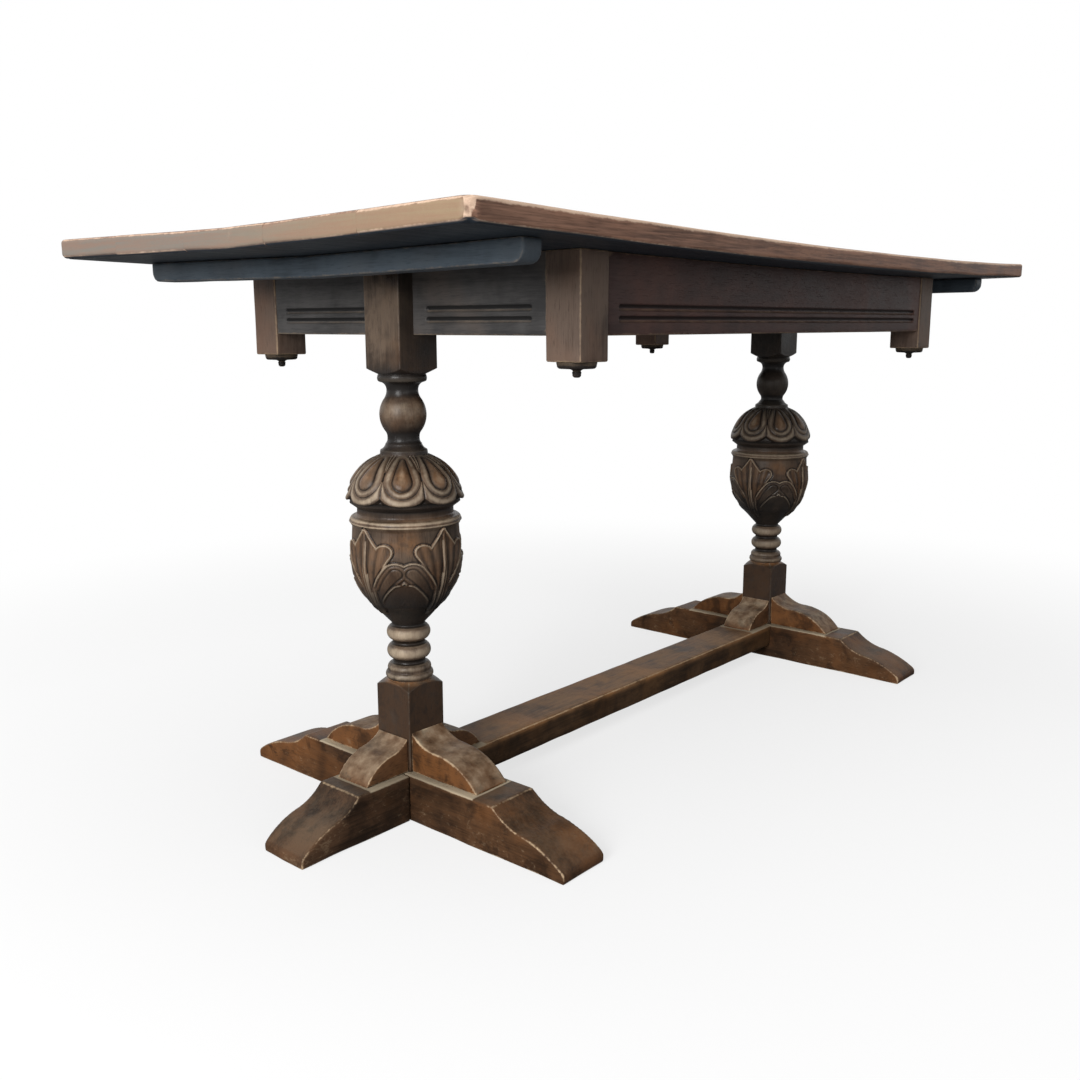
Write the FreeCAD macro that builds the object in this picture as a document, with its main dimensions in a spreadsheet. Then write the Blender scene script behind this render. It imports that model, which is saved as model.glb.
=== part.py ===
import FreeCAD, Part
import math
import os
import re

import Sketcher

# An oak refectory table: a boarded top on a fluted frame with corner posts and turned pendants,
# carried by two cup-and-cover columns on cross-shaped feet that a low stretcher joins.
# Millimetres. The origin is on the floor below the middle of the top, X runs along the table.

SIZES = {
    # The top: boards side by side, their upper edges worn round.
    "table_height": 752,
    "top_length": 1475,
    "top_width": 750,
    "top_thick": 24,
    "top_corner": 16,
    "top_edge_round": 5,
    "tongue_thick": 7,
    "tongue_depth": 10,
    "tongue_stop": 45,
    # The two battens under the ends of the top.
    "batten_margin": 125.5,
    "batten_width": 30,
    "batten_height": 25,
    "batten_inset": 37,
    "batten_round": 14,
    "batten_recess": 9,
    "batten_screw_length": 30,
    # The frame: posts at the corners, rails tenoned between them.
    "end_overhang": 245.5,
    "side_overhang": 74,
    "post_side": 51,
    "post_length": 118.5,
    "rail_height": 89.5,
    "rail_thick": 24,
    "rail_setback": 2,
    "tenon_thick": 10,
    "tenon_length": 22,
    "tenon_shoulder": 12,
    "peg_radius": 3,
    "peg_cover": 5,
    # Two gouged flutes along the lower half of each rail.
    "flute_radius": 3.8,
    "flute_depth": 2.6,
    "lower_flute": 18.4,
    "upper_flute": 31.5,
    "flute_margin": 22,
    # The bearer across the middle of the frame.
    "bearer_thick": 24,
    "bearer_height": 70,
    "bearer_tenon": 10,
    # Wooden buttons that hold the top down to the rails.
    "button_reach": 36,
    "button_width": 30,
    "button_thick": 16,
    "button_tongue": 8,
    "button_lip": 8,
    "button_screw_stop": 1,
    # Wood screws.
    "screw_radius": 2,
    "screw_head_radius": 4,
    "screw_head_height": 2.5,
    # The turned pendant below each post.
    "pendant_spigot_radius": 7,
    "pendant_spigot_length": 18,
    "pendant_radius": 23,
    "pendant_foot_radius": 20,
    "pendant_thick": 7.5,
    "drop_radius": 5,
    "drop_height": 10,
    # The columns: square blocks above and below the turning.
    "upper_block": 65,
    "upper_block_proud": 24.5,
    "lower_block": 63.5,
    "turn_bottom": 177,
    "turn_top": 598,
    "shoulder_drop": 8,
    "column_tenon": 30,
    "column_tenon_length": 44,
    "bridle_peg_radius": 5,
    "bridle_peg_spread": 36,
    # Radii of the turning, from the bottom ring to the collar under the upper block.
    "ring_radius": 30,
    "stem_radius": 22,
    "cup_foot_radius": 51,
    "cup_radius": 74.5,
    "cup_rim_radius": 72,
    "waist_radius": 63.5,
    "cover_radius": 76,
    "cover_neck_radius": 30.5,
    "neck_radius": 20.6,
    "ball_foot_radius": 23.4,
    "collar_radius": 31,
    # The feet and the stretcher.
    "foot_width": 79,
    "foot_height": 64.5,
    "cross_foot_reach": 304,
    "cross_foot_flat": 187,
    "outer_foot_reach": 218,
    "outer_foot_flat": 127,
    "stretcher_width": 77,
    "stretcher_thick": 40.5,
    "foot_tenon_length": 20,
    "foot_tenon_width": 50,
    "foot_tenon_thick": 20,
    "foot_peg_radius": 5,
    "foot_peg_cover": 12,
    # The ogee brackets that brace each column.
    "bracket_width": 58,
    "outer_bracket_rise": 49,
    "cross_bracket_rise": 55,
    "cross_bracket_reach": 152,
    "outer_bracket_reach": 106,
    "dowel_radius": 4,
    "dowel_depth": 18,
    "dowel_inset": 22,
    # The slack in every hidden joint, and how far each cut runs past its face.
    "fit_gap": 0.2,
    "overrun": 2,
}
BOARDS = 5
QUARTER_SHARE = (math.sqrt(2) - 1) / 2
ENDS = {"near": -1, "far": 1}
SIDES = {"front": -1, "back": 1}

# Where the buttons sit, as shares of the frame's length and width from its middle.
SIDE_BUTTON_SHARES = (-0.36, -0.14, 0.14, 0.36)
END_BUTTON_SHARES = (-0.27, 0.27)

# The ogee of a foot and of a bracket: where toe and hollow meet, across and up, then their bulges.
FOOT_OGEE_SHARES = (0.473, 0.617, 0.05, -0.085)
BRACKET_OGEE_SHARES = (0.36, 0.66, 0.12, -0.10)
# The round nose at the end of a foot: its foot and its top as shares of the height, how far the top lies in as a
# share of the ogee's run, and its bulge.
FOOT_NOSE_SHARES = (0.06, 0.25, 0.055, 0.17)

# The bulges of a pendant's point, drop and disc, and those of a column's square shoulders.
PENDANT_SHARES = (0.12, 0.20, 0.18)
SHOULDER_SHARE = 0.10

# The turning from bottom to top: radius, height as a share of the turned length,
# and the bulge of the stretch that follows as a share of its chord.
TURNING_SHARES = (
    ("stem_radius + (ring_radius - stem_radius) / 2", 0.018, 0.30),
    ("stem_radius", 0.073, 0.0),
    ("stem_radius", 0.085, 0.33),
    ("stem_radius", 0.134, 0.0),
    ("stem_radius", 0.1455, 0.33),
    ("stem_radius", 0.1945, 0.0),
    ("stem_radius", 0.200, 0.0),
    ("cup_foot_radius", 0.270, 0.07),
    ("cup_radius", 0.418, -0.01),
    ("cup_rim_radius", 0.528, 0.15),
    ("waist_radius", 0.564, -0.08),
    ("cover_radius - top_edge_round", 0.592, 0.15),
    ("cover_radius", 0.608, 0.12),
    ("cover_neck_radius", 0.736, 0.0),
    ("cover_neck_radius", 0.746, -0.10),
    ("neck_radius", 0.784, 0.0),
    ("neck_radius", 0.793, -0.06),
    ("ball_foot_radius", 0.807, 0.164),
    ("ball_foot_radius", 0.9075, -0.06),
    ("neck_radius", 0.929, -0.10),
    ("(neck_radius + collar_radius) / 2", 0.955, 0.10),
    ("collar_radius", 0.961, 0.0),
    ("collar_radius", 0.984, 0.0),
)

# Heights, faces and centre lines that several pieces share.
TOP_UNDER = "(table_height - top_thick)"
BATTEN_X = "(top_length / 2 - batten_margin)"
BATTEN_HALF = "(top_width / 2 - batten_inset)"
FRAME_LENGTH = "(top_length - 2 * end_overhang)"
FRAME_WIDTH = "(top_width - 2 * side_overhang)"
RAIL_BOTTOM = f"({TOP_UNDER} - rail_height)"
POST_BOTTOM = f"({TOP_UNDER} - post_length)"
POST_X = f"({FRAME_LENGTH} / 2 - post_side / 2)"
POST_Y = f"({FRAME_WIDTH} / 2 - post_side / 2)"
SIDE_RAIL_Y = f"({FRAME_WIDTH} / 2 - rail_setback - rail_thick / 2)"
END_RAIL_X = f"({FRAME_LENGTH} / 2 - rail_setback - rail_thick / 2)"
COLUMN_X = f"({FRAME_LENGTH} / 2 - rail_setback + upper_block_proud - upper_block / 2)"
SIDE_RAIL_HALF = f"({FRAME_LENGTH} / 2 - post_side)"
END_RAIL_HALF = f"({FRAME_WIDTH} / 2 - post_side)"
TENON_Z = f"({RAIL_BOTTOM} + tenon_shoulder)"
TENON_HEIGHT = "(rail_height - 2 * tenon_shoulder)"
PEG_Z = f"({RAIL_BOTTOM} + rail_height / 2)"
BUTTON_Z = f"({TOP_UNDER} - button_thick)"
BUTTON_SCREW = "(button_thick + (top_thick - tongue_thick) / 2 - button_screw_stop)"
BATTEN_HEAD_Z = f"({TOP_UNDER} - batten_height + batten_recess)"
FOOT_TENON_Z = "(foot_height - stretcher_thick / 2 - foot_tenon_thick / 2)"
FOOT_FACE = "(foot_width / 2)"
DOWEL_PLACE = "(lower_block / 2 + dowel_inset)"

doc = FreeCAD.newDocument("refectory_table")
sheet = doc.addObject("Spreadsheet::Sheet", "sheet")
for row, (alias, size) in enumerate(SIZES.items(), start=1):
    sheet.set(f"A{row}", alias)
    sheet.set(f"B{row}", str(size))
    sheet.setAlias(f"B{row}", alias)
doc.recompute()
pieces = []


def formula(text):
    """Text in size names, as an expression on the sheet's cells."""
    return re.sub(r"[a-z_]+", lambda word: f"sheet.{word[0]}" if word[0] in SIZES else word[0], text)


def bind(thing, prop, text):
    thing.setExpression(prop, formula(text))


def number(text):
    return float(sheet.evalExpression(formula(text)))


def place(thing, at, turn=0):
    """Put a thing at a point given in size names, turned about the vertical by whole degrees."""
    thing.Placement = FreeCAD.Placement(FreeCAD.Vector(), FreeCAD.Rotation(FreeCAD.Vector(0, 0, 1), turn))
    for axis, text in zip("xyz", at):
        bind(thing, f"Placement.Base.{axis}", text)


def box(name, centre_x, centre_y, bottom, length, width, height):
    solid = doc.addObject("Part::Box", name)
    bind(solid, "Length", length)
    bind(solid, "Width", width)
    bind(solid, "Height", height)
    place(solid, (f"{centre_x} - ({length}) / 2", f"{centre_y} - ({width}) / 2", bottom))
    return solid


def rod(name, start, radius, length, direction=(0, 0, 1)):
    solid = doc.addObject("Part::Cylinder", name)
    bind(solid, "Radius", radius)
    bind(solid, "Height", length)
    turn = FreeCAD.Rotation(FreeCAD.Vector(0, 0, 1), FreeCAD.Vector(*direction))
    solid.Placement = FreeCAD.Placement(FreeCAD.Vector(), turn)
    for axis, text in zip("xyz", start):
        bind(solid, f"Placement.Base.{axis}", text)
    return solid


def ball(name, centre, radius):
    solid = doc.addObject("Part::Sphere", name)
    bind(solid, "Radius", radius)
    place(solid, centre)
    return solid


def joined(name, solids):
    whole = doc.addObject("Part::MultiFuse", name)
    whole.Shapes = solids
    whole.Refine = True
    return whole


def carved(name, blank, cutters):
    """The blank less its cutters."""
    result = doc.addObject("Part::Cut", name)
    result.Base = blank
    result.Tool = joined(f"{name}_cutters", cutters) if len(cutters) > 1 else cutters[0]
    return result


def finished(label, thing):
    """Keep a thing as one of the table's pieces."""
    thing.Label = label
    pieces.append(thing)
    return thing


def gathered(label, solids):
    """Keep alike fasteners as one piece of separate solids."""
    group = doc.addObject("Part::Compound", f"{label}_group")
    group.Links = solids
    return finished(label, group)


def new_body(name):
    return doc.addObject("PartDesign::Body", f"{name}_body")


def arc_between(start, end, bulge):
    """The arc between two points, swelling to the right of its run where the bulge is positive."""
    chord = end - start
    share = abs(bulge)
    radius = chord.Length * (0.25 + share ** 2) / (2 * share)
    inward = FreeCAD.Vector(-chord.y, chord.x, 0).normalize() * math.copysign(1, bulge)
    centre = (start + end) / 2 + inward * (radius - share * chord.Length)
    first, last = (start, end) if bulge > 0 else (end, start)
    angles = [math.atan2(point.y - centre.y, point.x - centre.x) for point in (first, last)]
    if angles[1] < angles[0]:
        angles[1] += 2 * math.pi
    return Part.ArcOfCircle(Part.Circle(centre, FreeCAD.Vector(0, 0, 1), radius), *angles)


def pin_down(flat, kind, axis_line, text, edge, end):
    """Hold one end of an edge at a distance from the sketch's origin."""
    if text == "0":
        flat.addConstraint(Sketcher.Constraint("PointOnObject", edge, end, axis_line))
        return
    held = flat.addConstraint(Sketcher.Constraint(kind, -1, 1, edge, end, number(text)))
    bind(flat, f"Constraints[{held}]", text)


def outline(body, name, role, corners):
    """A closed sketch. Each corner is across, up and the bulge of the edge to the next corner."""
    flat = body.newObject("Sketcher::SketchObject", name)
    plane = next(feature for feature in body.Origin.OriginFeatures if feature.Role == role)
    flat.AttachmentSupport = (plane, [""])
    flat.MapMode = "FlatFace"
    points = [FreeCAD.Vector(number(across), number(up), 0) for across, up, bulge in corners]
    ends = []
    for index, (across, up, bulge) in enumerate(corners):
        after = (index + 1) % len(corners)
        if bulge:
            edge = flat.addGeometry(arc_between(points[index], points[after], bulge))
            run = f"hypot(({corners[after][0]}) - ({across}); ({corners[after][1]}) - ({up}))"
            radius_share = (0.25 + bulge ** 2) / (2 * abs(bulge))
            radius = f"{run} * {radius_share}"
            held = flat.addConstraint(Sketcher.Constraint("Radius", edge, number(radius)))
            bind(flat, f"Constraints[{held}]", radius)
        else:
            edge = flat.addGeometry(Part.LineSegment(points[index], points[after]))
        ends.append((edge, 1, 2) if bulge >= 0 else (edge, 2, 1))
    for index, (across, up, bulge) in enumerate(corners):
        edge, first, last = ends[index]
        next_edge, next_first, next_last = ends[(index + 1) % len(corners)]
        flat.addConstraint(Sketcher.Constraint("Coincident", edge, last, next_edge, next_first))
        pin_down(flat, "DistanceX", -2, across, edge, first)
        pin_down(flat, "DistanceY", -1, up, edge, first)
    return flat


def padded(name, role, corners, depth):
    """A body padded evenly to both sides of its outline's plane."""
    body = new_body(name)
    solid = body.newObject("PartDesign::Pad", f"{name}_pad")
    solid.Profile = outline(body, f"{name}_outline", role, corners)
    solid.SideType = "Symmetric"
    bind(solid, "Length", depth)
    return body


def turned(name, corners):
    """A body turned about its upright axis."""
    body = new_body(name)
    profile = outline(body, f"{name}_profile", "XZ_Plane", corners)
    solid = body.newObject("PartDesign::Revolution", f"{name}_turning")
    solid.Profile = profile
    solid.ReferenceAxis = (profile, ["V_Axis"])
    solid.Angle = 360
    return body


def screw(name, x, y, head_z, length):
    """A countersunk wood screw that points up."""
    head = doc.addObject("Part::Cone", f"{name}_head")
    bind(head, "Radius1", "screw_head_radius")
    bind(head, "Radius2", "screw_radius")
    bind(head, "Height", "screw_head_height")
    place(head, (x, y, head_z))
    return joined(name, [head, rod(f"{name}_shank", (x, y, head_z), "screw_radius", length)])


def pilot_hole(name, x, y, head_z, length):
    return rod(name, (x, y, head_z), "screw_radius + fit_gap", f"{length} + fit_gap")


def screw_hole(name, x, y, head_z, length):
    """Cutters for a screw's shank, its countersink and the recess below its head."""
    sink = doc.addObject("Part::Cone", f"{name}_sink")
    bind(sink, "Radius1", "screw_head_radius + fit_gap")
    bind(sink, "Radius2", "screw_radius + fit_gap")
    bind(sink, "Height", "screw_head_height")
    place(sink, (x, y, head_z))
    shank = pilot_hole(f"{name}_shank", x, y, head_z, length)
    recess = rod(f"{name}_recess", (x, y, head_z), "screw_head_radius + fit_gap",
                 "batten_recess + overrun", (0, 0, -1))
    return [sink, shank, recess]


def board_y(index):
    return f"(top_width * {(index + 0.5) / BOARDS - 0.5})"


def button_places():
    """Each button's centre line on its rail, and the way from that rail into the frame."""
    spots = []
    for side in SIDES.values():
        for share in SIDE_BUTTON_SHARES:
            spots.append((f"({FRAME_LENGTH} * {share})", f"({side} * {SIDE_RAIL_Y})", (0, -side)))
    for end in ENDS.values():
        for share in END_BUTTON_SHARES:
            spots.append((f"({end} * {END_RAIL_X})", f"({FRAME_WIDTH} * {share})", (-end, 0)))
    return spots


def button_screw_at(spot):
    x, y, inward = spot
    run = "(rail_thick / 2 + button_reach / 2)"
    return f"({x} + {inward[0]} * {run})", f"({y} + {inward[1]} * {run})"


def button_box(name, spot, start, reach, bottom, height, slack="0"):
    """A box on a button's line, from a distance inside the rail's middle."""
    x, y, inward = spot
    middle = f"(({start}) + ({reach}) / 2)"
    along, across = f"{reach} + 2 * {slack}", f"button_width + 2 * {slack}"
    length, width = (along, across) if inward[0] else (across, along)
    return box(name, f"({x} + {inward[0]} * {middle})", f"({y} + {inward[1]} * {middle})",
               f"{bottom} - {slack}", length, width, f"{height} + 2 * {slack}")


def button_lip(name, spot, slack="0"):
    """The lip of a button in its rail, or with slack the slot for it."""
    start = "rail_thick / 2 - button_tongue"
    return button_box(name, spot, start, "button_tongue", BUTTON_Z, "button_lip", slack)


def top_screw_holes(index):
    """Cutters for the screws that end in one board of the top."""
    low = f"(top_width * {index / BOARDS - 0.5})"
    cutters = []
    for end_name, end in ENDS.items():
        cutters.append(pilot_hole(f"board_{index}_{end_name}_hole", f"({end} * {BATTEN_X})", board_y(index),
                                  BATTEN_HEAD_Z, "batten_screw_length"))
    for count, spot in enumerate(button_places()):
        x, y = button_screw_at(spot)
        if 0 < number(y) - number(low) < number("top_width") / BOARDS:
            name = f"board_{index}_button_hole_{count}"
            cutters.append(pilot_hole(name, x, y, BUTTON_Z, BUTTON_SCREW))
    return cutters


def tongue_box(name, joint, slack):
    """A loose tongue between two boards, or with slack the slot for it."""
    return box(name, "0", f"(top_width * {joint / BOARDS - 0.5})",
               f"{TOP_UNDER} + top_thick / 2 - tongue_thick / 2 - {slack}",
               f"top_length - 2 * tongue_stop + 2 * {slack}", f"2 * tongue_depth + 2 * {slack}",
               f"tongue_thick + 2 * {slack}")


def worn_edges(board):
    """Names of a board's upper edges that lie on the outline of the top."""
    names = []
    for count, edge in enumerate(board.Edges, start=1):
        middle = edge.CenterOfMass
        on_top = abs(middle.z - board.BoundBox.ZMax) < number("fit_gap")
        on_joint = [abs(middle.y - number(f"top_width * {joint / BOARDS - 0.5}")) < number("fit_gap")
                    for joint in range(1, BOARDS)]
        if on_top and edge.BoundBox.ZLength < number("fit_gap") and not any(on_joint):
            names.append(f"Edge{count}")
    return names


def make_board(index):
    low, high = (f"top_width * {edge / BOARDS - 0.5}" for edge in (index, index + 1))
    end = "top_length / 2"
    inset = "(top_length / 2 - top_corner)"
    low_corners = [(f"-{end}", low, 0), (end, low, 0)]
    high_corners = [(end, high, 0), (f"-{end}", high, 0)]
    if index == 0:
        low_corners = [(f"-{end}", f"{low} + top_corner", QUARTER_SHARE), (f"-{inset}", low, 0),
                       (inset, low, QUARTER_SHARE), (end, f"{low} + top_corner", 0)]
    if index == BOARDS - 1:
        high_corners = [(end, f"{high} - top_corner", QUARTER_SHARE), (inset, high, 0),
                        (f"-{inset}", high, QUARTER_SHARE), (f"-{end}", f"{high} - top_corner", 0)]
    name = f"top_board_{index + 1}"
    body = padded(name, "XY_Plane", low_corners + high_corners, "top_thick")
    place(body, ("0", "0", f"{TOP_UNDER} + top_thick / 2"))
    doc.recompute()
    square_board = body.Tip
    rounding = body.newObject("PartDesign::Fillet", f"{name}_rounding")
    rounding.Base = (square_board, worn_edges(square_board.Shape))
    bind(rounding, "Radius", "top_edge_round")
    body.Tip = rounding
    slots = [tongue_box(f"{name}_slot_{joint}", joint, "fit_gap")
             for joint in (index, index + 1) if 0 < joint < BOARDS]
    finished(name, carved(name, body, slots + top_screw_holes(index)))


def make_top():
    for index in range(BOARDS):
        make_board(index)
    gathered("top_tongues", [tongue_box(f"top_tongue_{joint}", joint, "0") for joint in range(1, BOARDS)])


def make_battens():
    half = BATTEN_HALF
    inner = f"({BATTEN_HALF} - batten_round)"
    corners = [(f"-{inner}", "0", 0), (inner, "0", QUARTER_SHARE), (half, "batten_round", 0),
               (half, "batten_height", 0), (f"-{half}", "batten_height", 0),
               (f"-{half}", "batten_round", QUARTER_SHARE)]
    screws = []
    for end_name, end in ENDS.items():
        name = f"batten_{end_name}"
        body = padded(name, "XZ_Plane", corners, "batten_width")
        x = f"({end} * {BATTEN_X})"
        place(body, (x, "0", f"{TOP_UNDER} - batten_height"), 90)
        holes = []
        for index in range(BOARDS):
            at = (x, board_y(index), BATTEN_HEAD_Z)
            screws.append(screw(f"{name}_screw_{index}", *at, "batten_screw_length"))
            holes += screw_hole(f"{name}_hole_{index}", *at, "batten_screw_length")
        finished(name, carved(name, body, holes))
    gathered("batten_screws", screws)


def flute(name, axis, start, end, face, outward, height):
    """Cutters for one gouged groove with round ends, along a rail's outer face."""
    sunk = f"({face} + {outward} * (flute_radius - flute_depth))"
    if axis == "x":
        first, last, direction = (start, sunk, height), (end, sunk, height), (1, 0, 0)
    else:
        first, last, direction = (sunk, start, height), (sunk, end, height), (0, 1, 0)
    return [rod(f"{name}_run", first, "flute_radius", f"({end}) - ({start})", direction),
            ball(f"{name}_start", first, "flute_radius"), ball(f"{name}_end", last, "flute_radius")]


def flutes(name, axis, start, end, face, outward):
    lower = flute(f"{name}_lower", axis, start, end, face, outward, f"{RAIL_BOTTOM} + lower_flute")
    upper = flute(f"{name}_upper", axis, start, end, face, outward, f"{RAIL_BOTTOM} + upper_flute")
    return lower + upper


def rail_buttons(name, index_range):
    """Slots in a rail for the tongues of its buttons."""
    spots = button_places()
    return [button_lip(f"{name}_slot_{count}", spots[count], "fit_gap") for count in index_range]


def side_tenon(name, side, slack="0"):
    """The tongues at both ends of a side rail, or with slack their mortises."""
    length = f"2 * ({SIDE_RAIL_HALF} + tenon_length + {slack})"
    return box(name, "0", f"({side} * {SIDE_RAIL_Y})", f"{TENON_Z} - {slack}", length,
               f"tenon_thick + 2 * {slack}", f"{TENON_HEIGHT} + 2 * {slack}")


def end_tenon(name, end, slack="0"):
    length = f"2 * ({END_RAIL_HALF} + tenon_length + {slack})"
    return box(name, f"({end} * {END_RAIL_X})", "0", f"{TENON_Z} - {slack}",
               f"tenon_thick + 2 * {slack}", length, f"{TENON_HEIGHT} + 2 * {slack}")


def side_peg(name, end, side, slack="0"):
    """The peg through a side rail's tenon, driven from inside the frame."""
    start = (f"({end} * ({SIDE_RAIL_HALF} + tenon_length / 2))", f"({side} * {END_RAIL_HALF})", PEG_Z)
    return rod(name, start, f"peg_radius + {slack}", f"post_side - peg_cover + {slack}", (0, side, 0))


def end_peg(name, end, side, slack="0"):
    start = (f"({end} * {SIDE_RAIL_HALF})", f"({side} * ({END_RAIL_HALF} + tenon_length / 2))", PEG_Z)
    return rod(name, start, f"peg_radius + {slack}", f"post_side - peg_cover + {slack}", (end, 0, 0))


def bridle_pegs(name, end, slack="0"):
    """Two pegs through a column's upper block and the end rail in its slot."""
    start_x = f"({end} * ({COLUMN_X} - upper_block / 2))"
    pegs = []
    for share in (-0.5, 0.5):
        start = (start_x, "0", f"{RAIL_BOTTOM} + rail_height / 2 + bridle_peg_spread * {share}")
        pegs.append(rod(f"{name}_{len(pegs)}", start, f"bridle_peg_radius + {slack}",
                        f"upper_block - peg_cover + {slack}", (end, 0, 0)))
    return pegs


def make_side_rails():
    per_side = len(SIDE_BUTTON_SHARES)
    reach = f"({SIDE_RAIL_HALF} - flute_margin)"
    for count, (side_name, side) in enumerate(SIDES.items()):
        name = f"side_rail_{side_name}"
        plank = box(f"{name}_plank", "0", f"({side} * {SIDE_RAIL_Y})", RAIL_BOTTOM,
                    f"2 * {SIDE_RAIL_HALF}", "rail_thick", "rail_height")
        blank = joined(f"{name}_blank", [plank, side_tenon(f"{name}_tenons", side)])
        face = f"({side} * ({SIDE_RAIL_Y} + rail_thick / 2))"
        cutters = flutes(f"{name}_flute", "x", f"-{reach}", reach, face, side)
        cutters += rail_buttons(name, range(count * per_side, (count + 1) * per_side))
        cutters.append(bearer_tenon(f"{name}_housing", "fit_gap"))
        for end_name, end in ENDS.items():
            cutters.append(side_peg(f"{name}_peg_{end_name}", end, side, "fit_gap"))
        finished(name, carved(name, blank, cutters))


def make_end_rails():
    first = len(SIDES) * len(SIDE_BUTTON_SHARES)
    per_end = len(END_BUTTON_SHARES)
    outer = f"({END_RAIL_HALF} - flute_margin)"
    inner = "(upper_block / 2 + flute_margin)"
    for count, (end_name, end) in enumerate(ENDS.items()):
        name = f"end_rail_{end_name}"
        plank = box(f"{name}_plank", f"({end} * {END_RAIL_X})", "0", RAIL_BOTTOM,
                    "rail_thick", f"2 * {END_RAIL_HALF}", "rail_height")
        blank = joined(f"{name}_blank", [plank, end_tenon(f"{name}_tenons", end)])
        face = f"({end} * ({END_RAIL_X} + rail_thick / 2))"
        cutters = flutes(f"{name}_front_flute", "y", f"-{outer}", f"-{inner}", face, end)
        cutters += flutes(f"{name}_back_flute", "y", inner, outer, face, end)
        cutters += rail_buttons(name, range(first + count * per_end, first + (count + 1) * per_end))
        for side_name, side in SIDES.items():
            cutters.append(end_peg(f"{name}_peg_{side_name}", end, side, "fit_gap"))
        cutters += bridle_pegs(f"{name}_bridle", end, "fit_gap")
        finished(name, carved(name, blank, cutters))


def bearer_tenon(name, slack="0"):
    length = f"2 * ({SIDE_RAIL_Y} - rail_thick / 2 + bearer_tenon + {slack})"
    return box(name, "0", "0", f"{TOP_UNDER} - bearer_height + tenon_shoulder - {slack}",
               f"tenon_thick + 2 * {slack}", length, f"bearer_height - 2 * tenon_shoulder + 2 * {slack}")


def make_bearer():
    plank = box("bearer_plank", "0", "0", f"{TOP_UNDER} - bearer_height", "bearer_thick",
                f"2 * ({SIDE_RAIL_Y} - rail_thick / 2)", "bearer_height")
    finished("bearer", joined("bearer", [plank, bearer_tenon("bearer_tenons")]))


def make_buttons():
    buttons, screws = [], []
    for count, spot in enumerate(button_places()):
        name = f"button_{count}"
        arm = button_box(f"{name}_arm", spot, "rail_thick / 2", "button_reach", BUTTON_Z, "button_thick")
        lip = button_lip(f"{name}_lip", spot)
        at = (*button_screw_at(spot), BUTTON_Z)
        buttons.append(carved(name, joined(f"{name}_blank", [arm, lip]),
                              screw_hole(f"{name}_hole", *at, BUTTON_SCREW)))
        screws.append(screw(f"{name}_screw", *at, BUTTON_SCREW))
    gathered("top_buttons", buttons)
    gathered("button_screws", screws)


def make_posts():
    pegs = []
    for end_name, end in ENDS.items():
        for side_name, side in SIDES.items():
            spot = f"{end_name}_{side_name}"
            name = f"post_{spot}"
            x, y = f"({end} * {POST_X})", f"({side} * {POST_Y})"
            blank = box(f"{name}_blank", x, y, POST_BOTTOM, "post_side", "post_side", "post_length")
            cutters = [side_tenon(f"{name}_side_mortise", side, "fit_gap"),
                       end_tenon(f"{name}_end_mortise", end, "fit_gap"),
                       side_peg(f"{name}_side_hole", end, side, "fit_gap"),
                       end_peg(f"{name}_end_hole", end, side, "fit_gap"),
                       rod(f"{name}_socket", (x, y, POST_BOTTOM), "pendant_spigot_radius + fit_gap",
                           "pendant_spigot_length + fit_gap")]
            finished(name, carved(name, blank, cutters))
            pegs += [side_peg(f"{spot}_side_peg", end, side), end_peg(f"{spot}_end_peg", end, side)]
            make_pendant(f"pendant_{spot}", x, y)
    gathered("rail_pegs", pegs)


def make_pendant(name, x, y):
    """A turned disc with a pointed drop, held by its spigot in the post."""
    point_share, drop_share, disc_share = PENDANT_SHARES
    corners = [("0", "-pendant_thick - drop_height", point_share),
               ("drop_radius", "-pendant_thick - drop_height / 2", drop_share),
               ("drop_radius / 2", "-pendant_thick", 0),
               ("pendant_foot_radius", "-pendant_thick", disc_share),
               ("pendant_radius", "0", 0), ("pendant_spigot_radius", "0", 0),
               ("pendant_spigot_radius", "pendant_spigot_length", 0), ("0", "pendant_spigot_length", 0)]
    body = turned(name, corners)
    place(body, (x, y, POST_BOTTOM))
    finished(name, body)


def turning_z(share):
    return f"(turn_bottom + (turn_top - turn_bottom) * {share})"


def column_corners():
    """The lathe profile, wider than the square blocks where they are left square."""
    lower, upper = "lower_block", "upper_block"
    corners = [("0", "foot_height", 0), (lower, "foot_height", 0),
               (lower, "turn_bottom - shoulder_drop", SHOULDER_SHARE)]
    corners += [(radius, turning_z(share), bulge) for radius, share, bulge in TURNING_SHARES]
    corners += [(upper, "turn_top + shoulder_drop", 0), (upper, TOP_UNDER, 0), ("0", TOP_UNDER, 0)]
    return corners


def column_tenon(name, end, slack="0"):
    return box(name, f"({end} * {COLUMN_X})", "0", f"foot_height - column_tenon_length - {slack}",
               f"column_tenon + 2 * {slack}", f"column_tenon + 2 * {slack}", f"column_tenon_length + {slack}")


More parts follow.
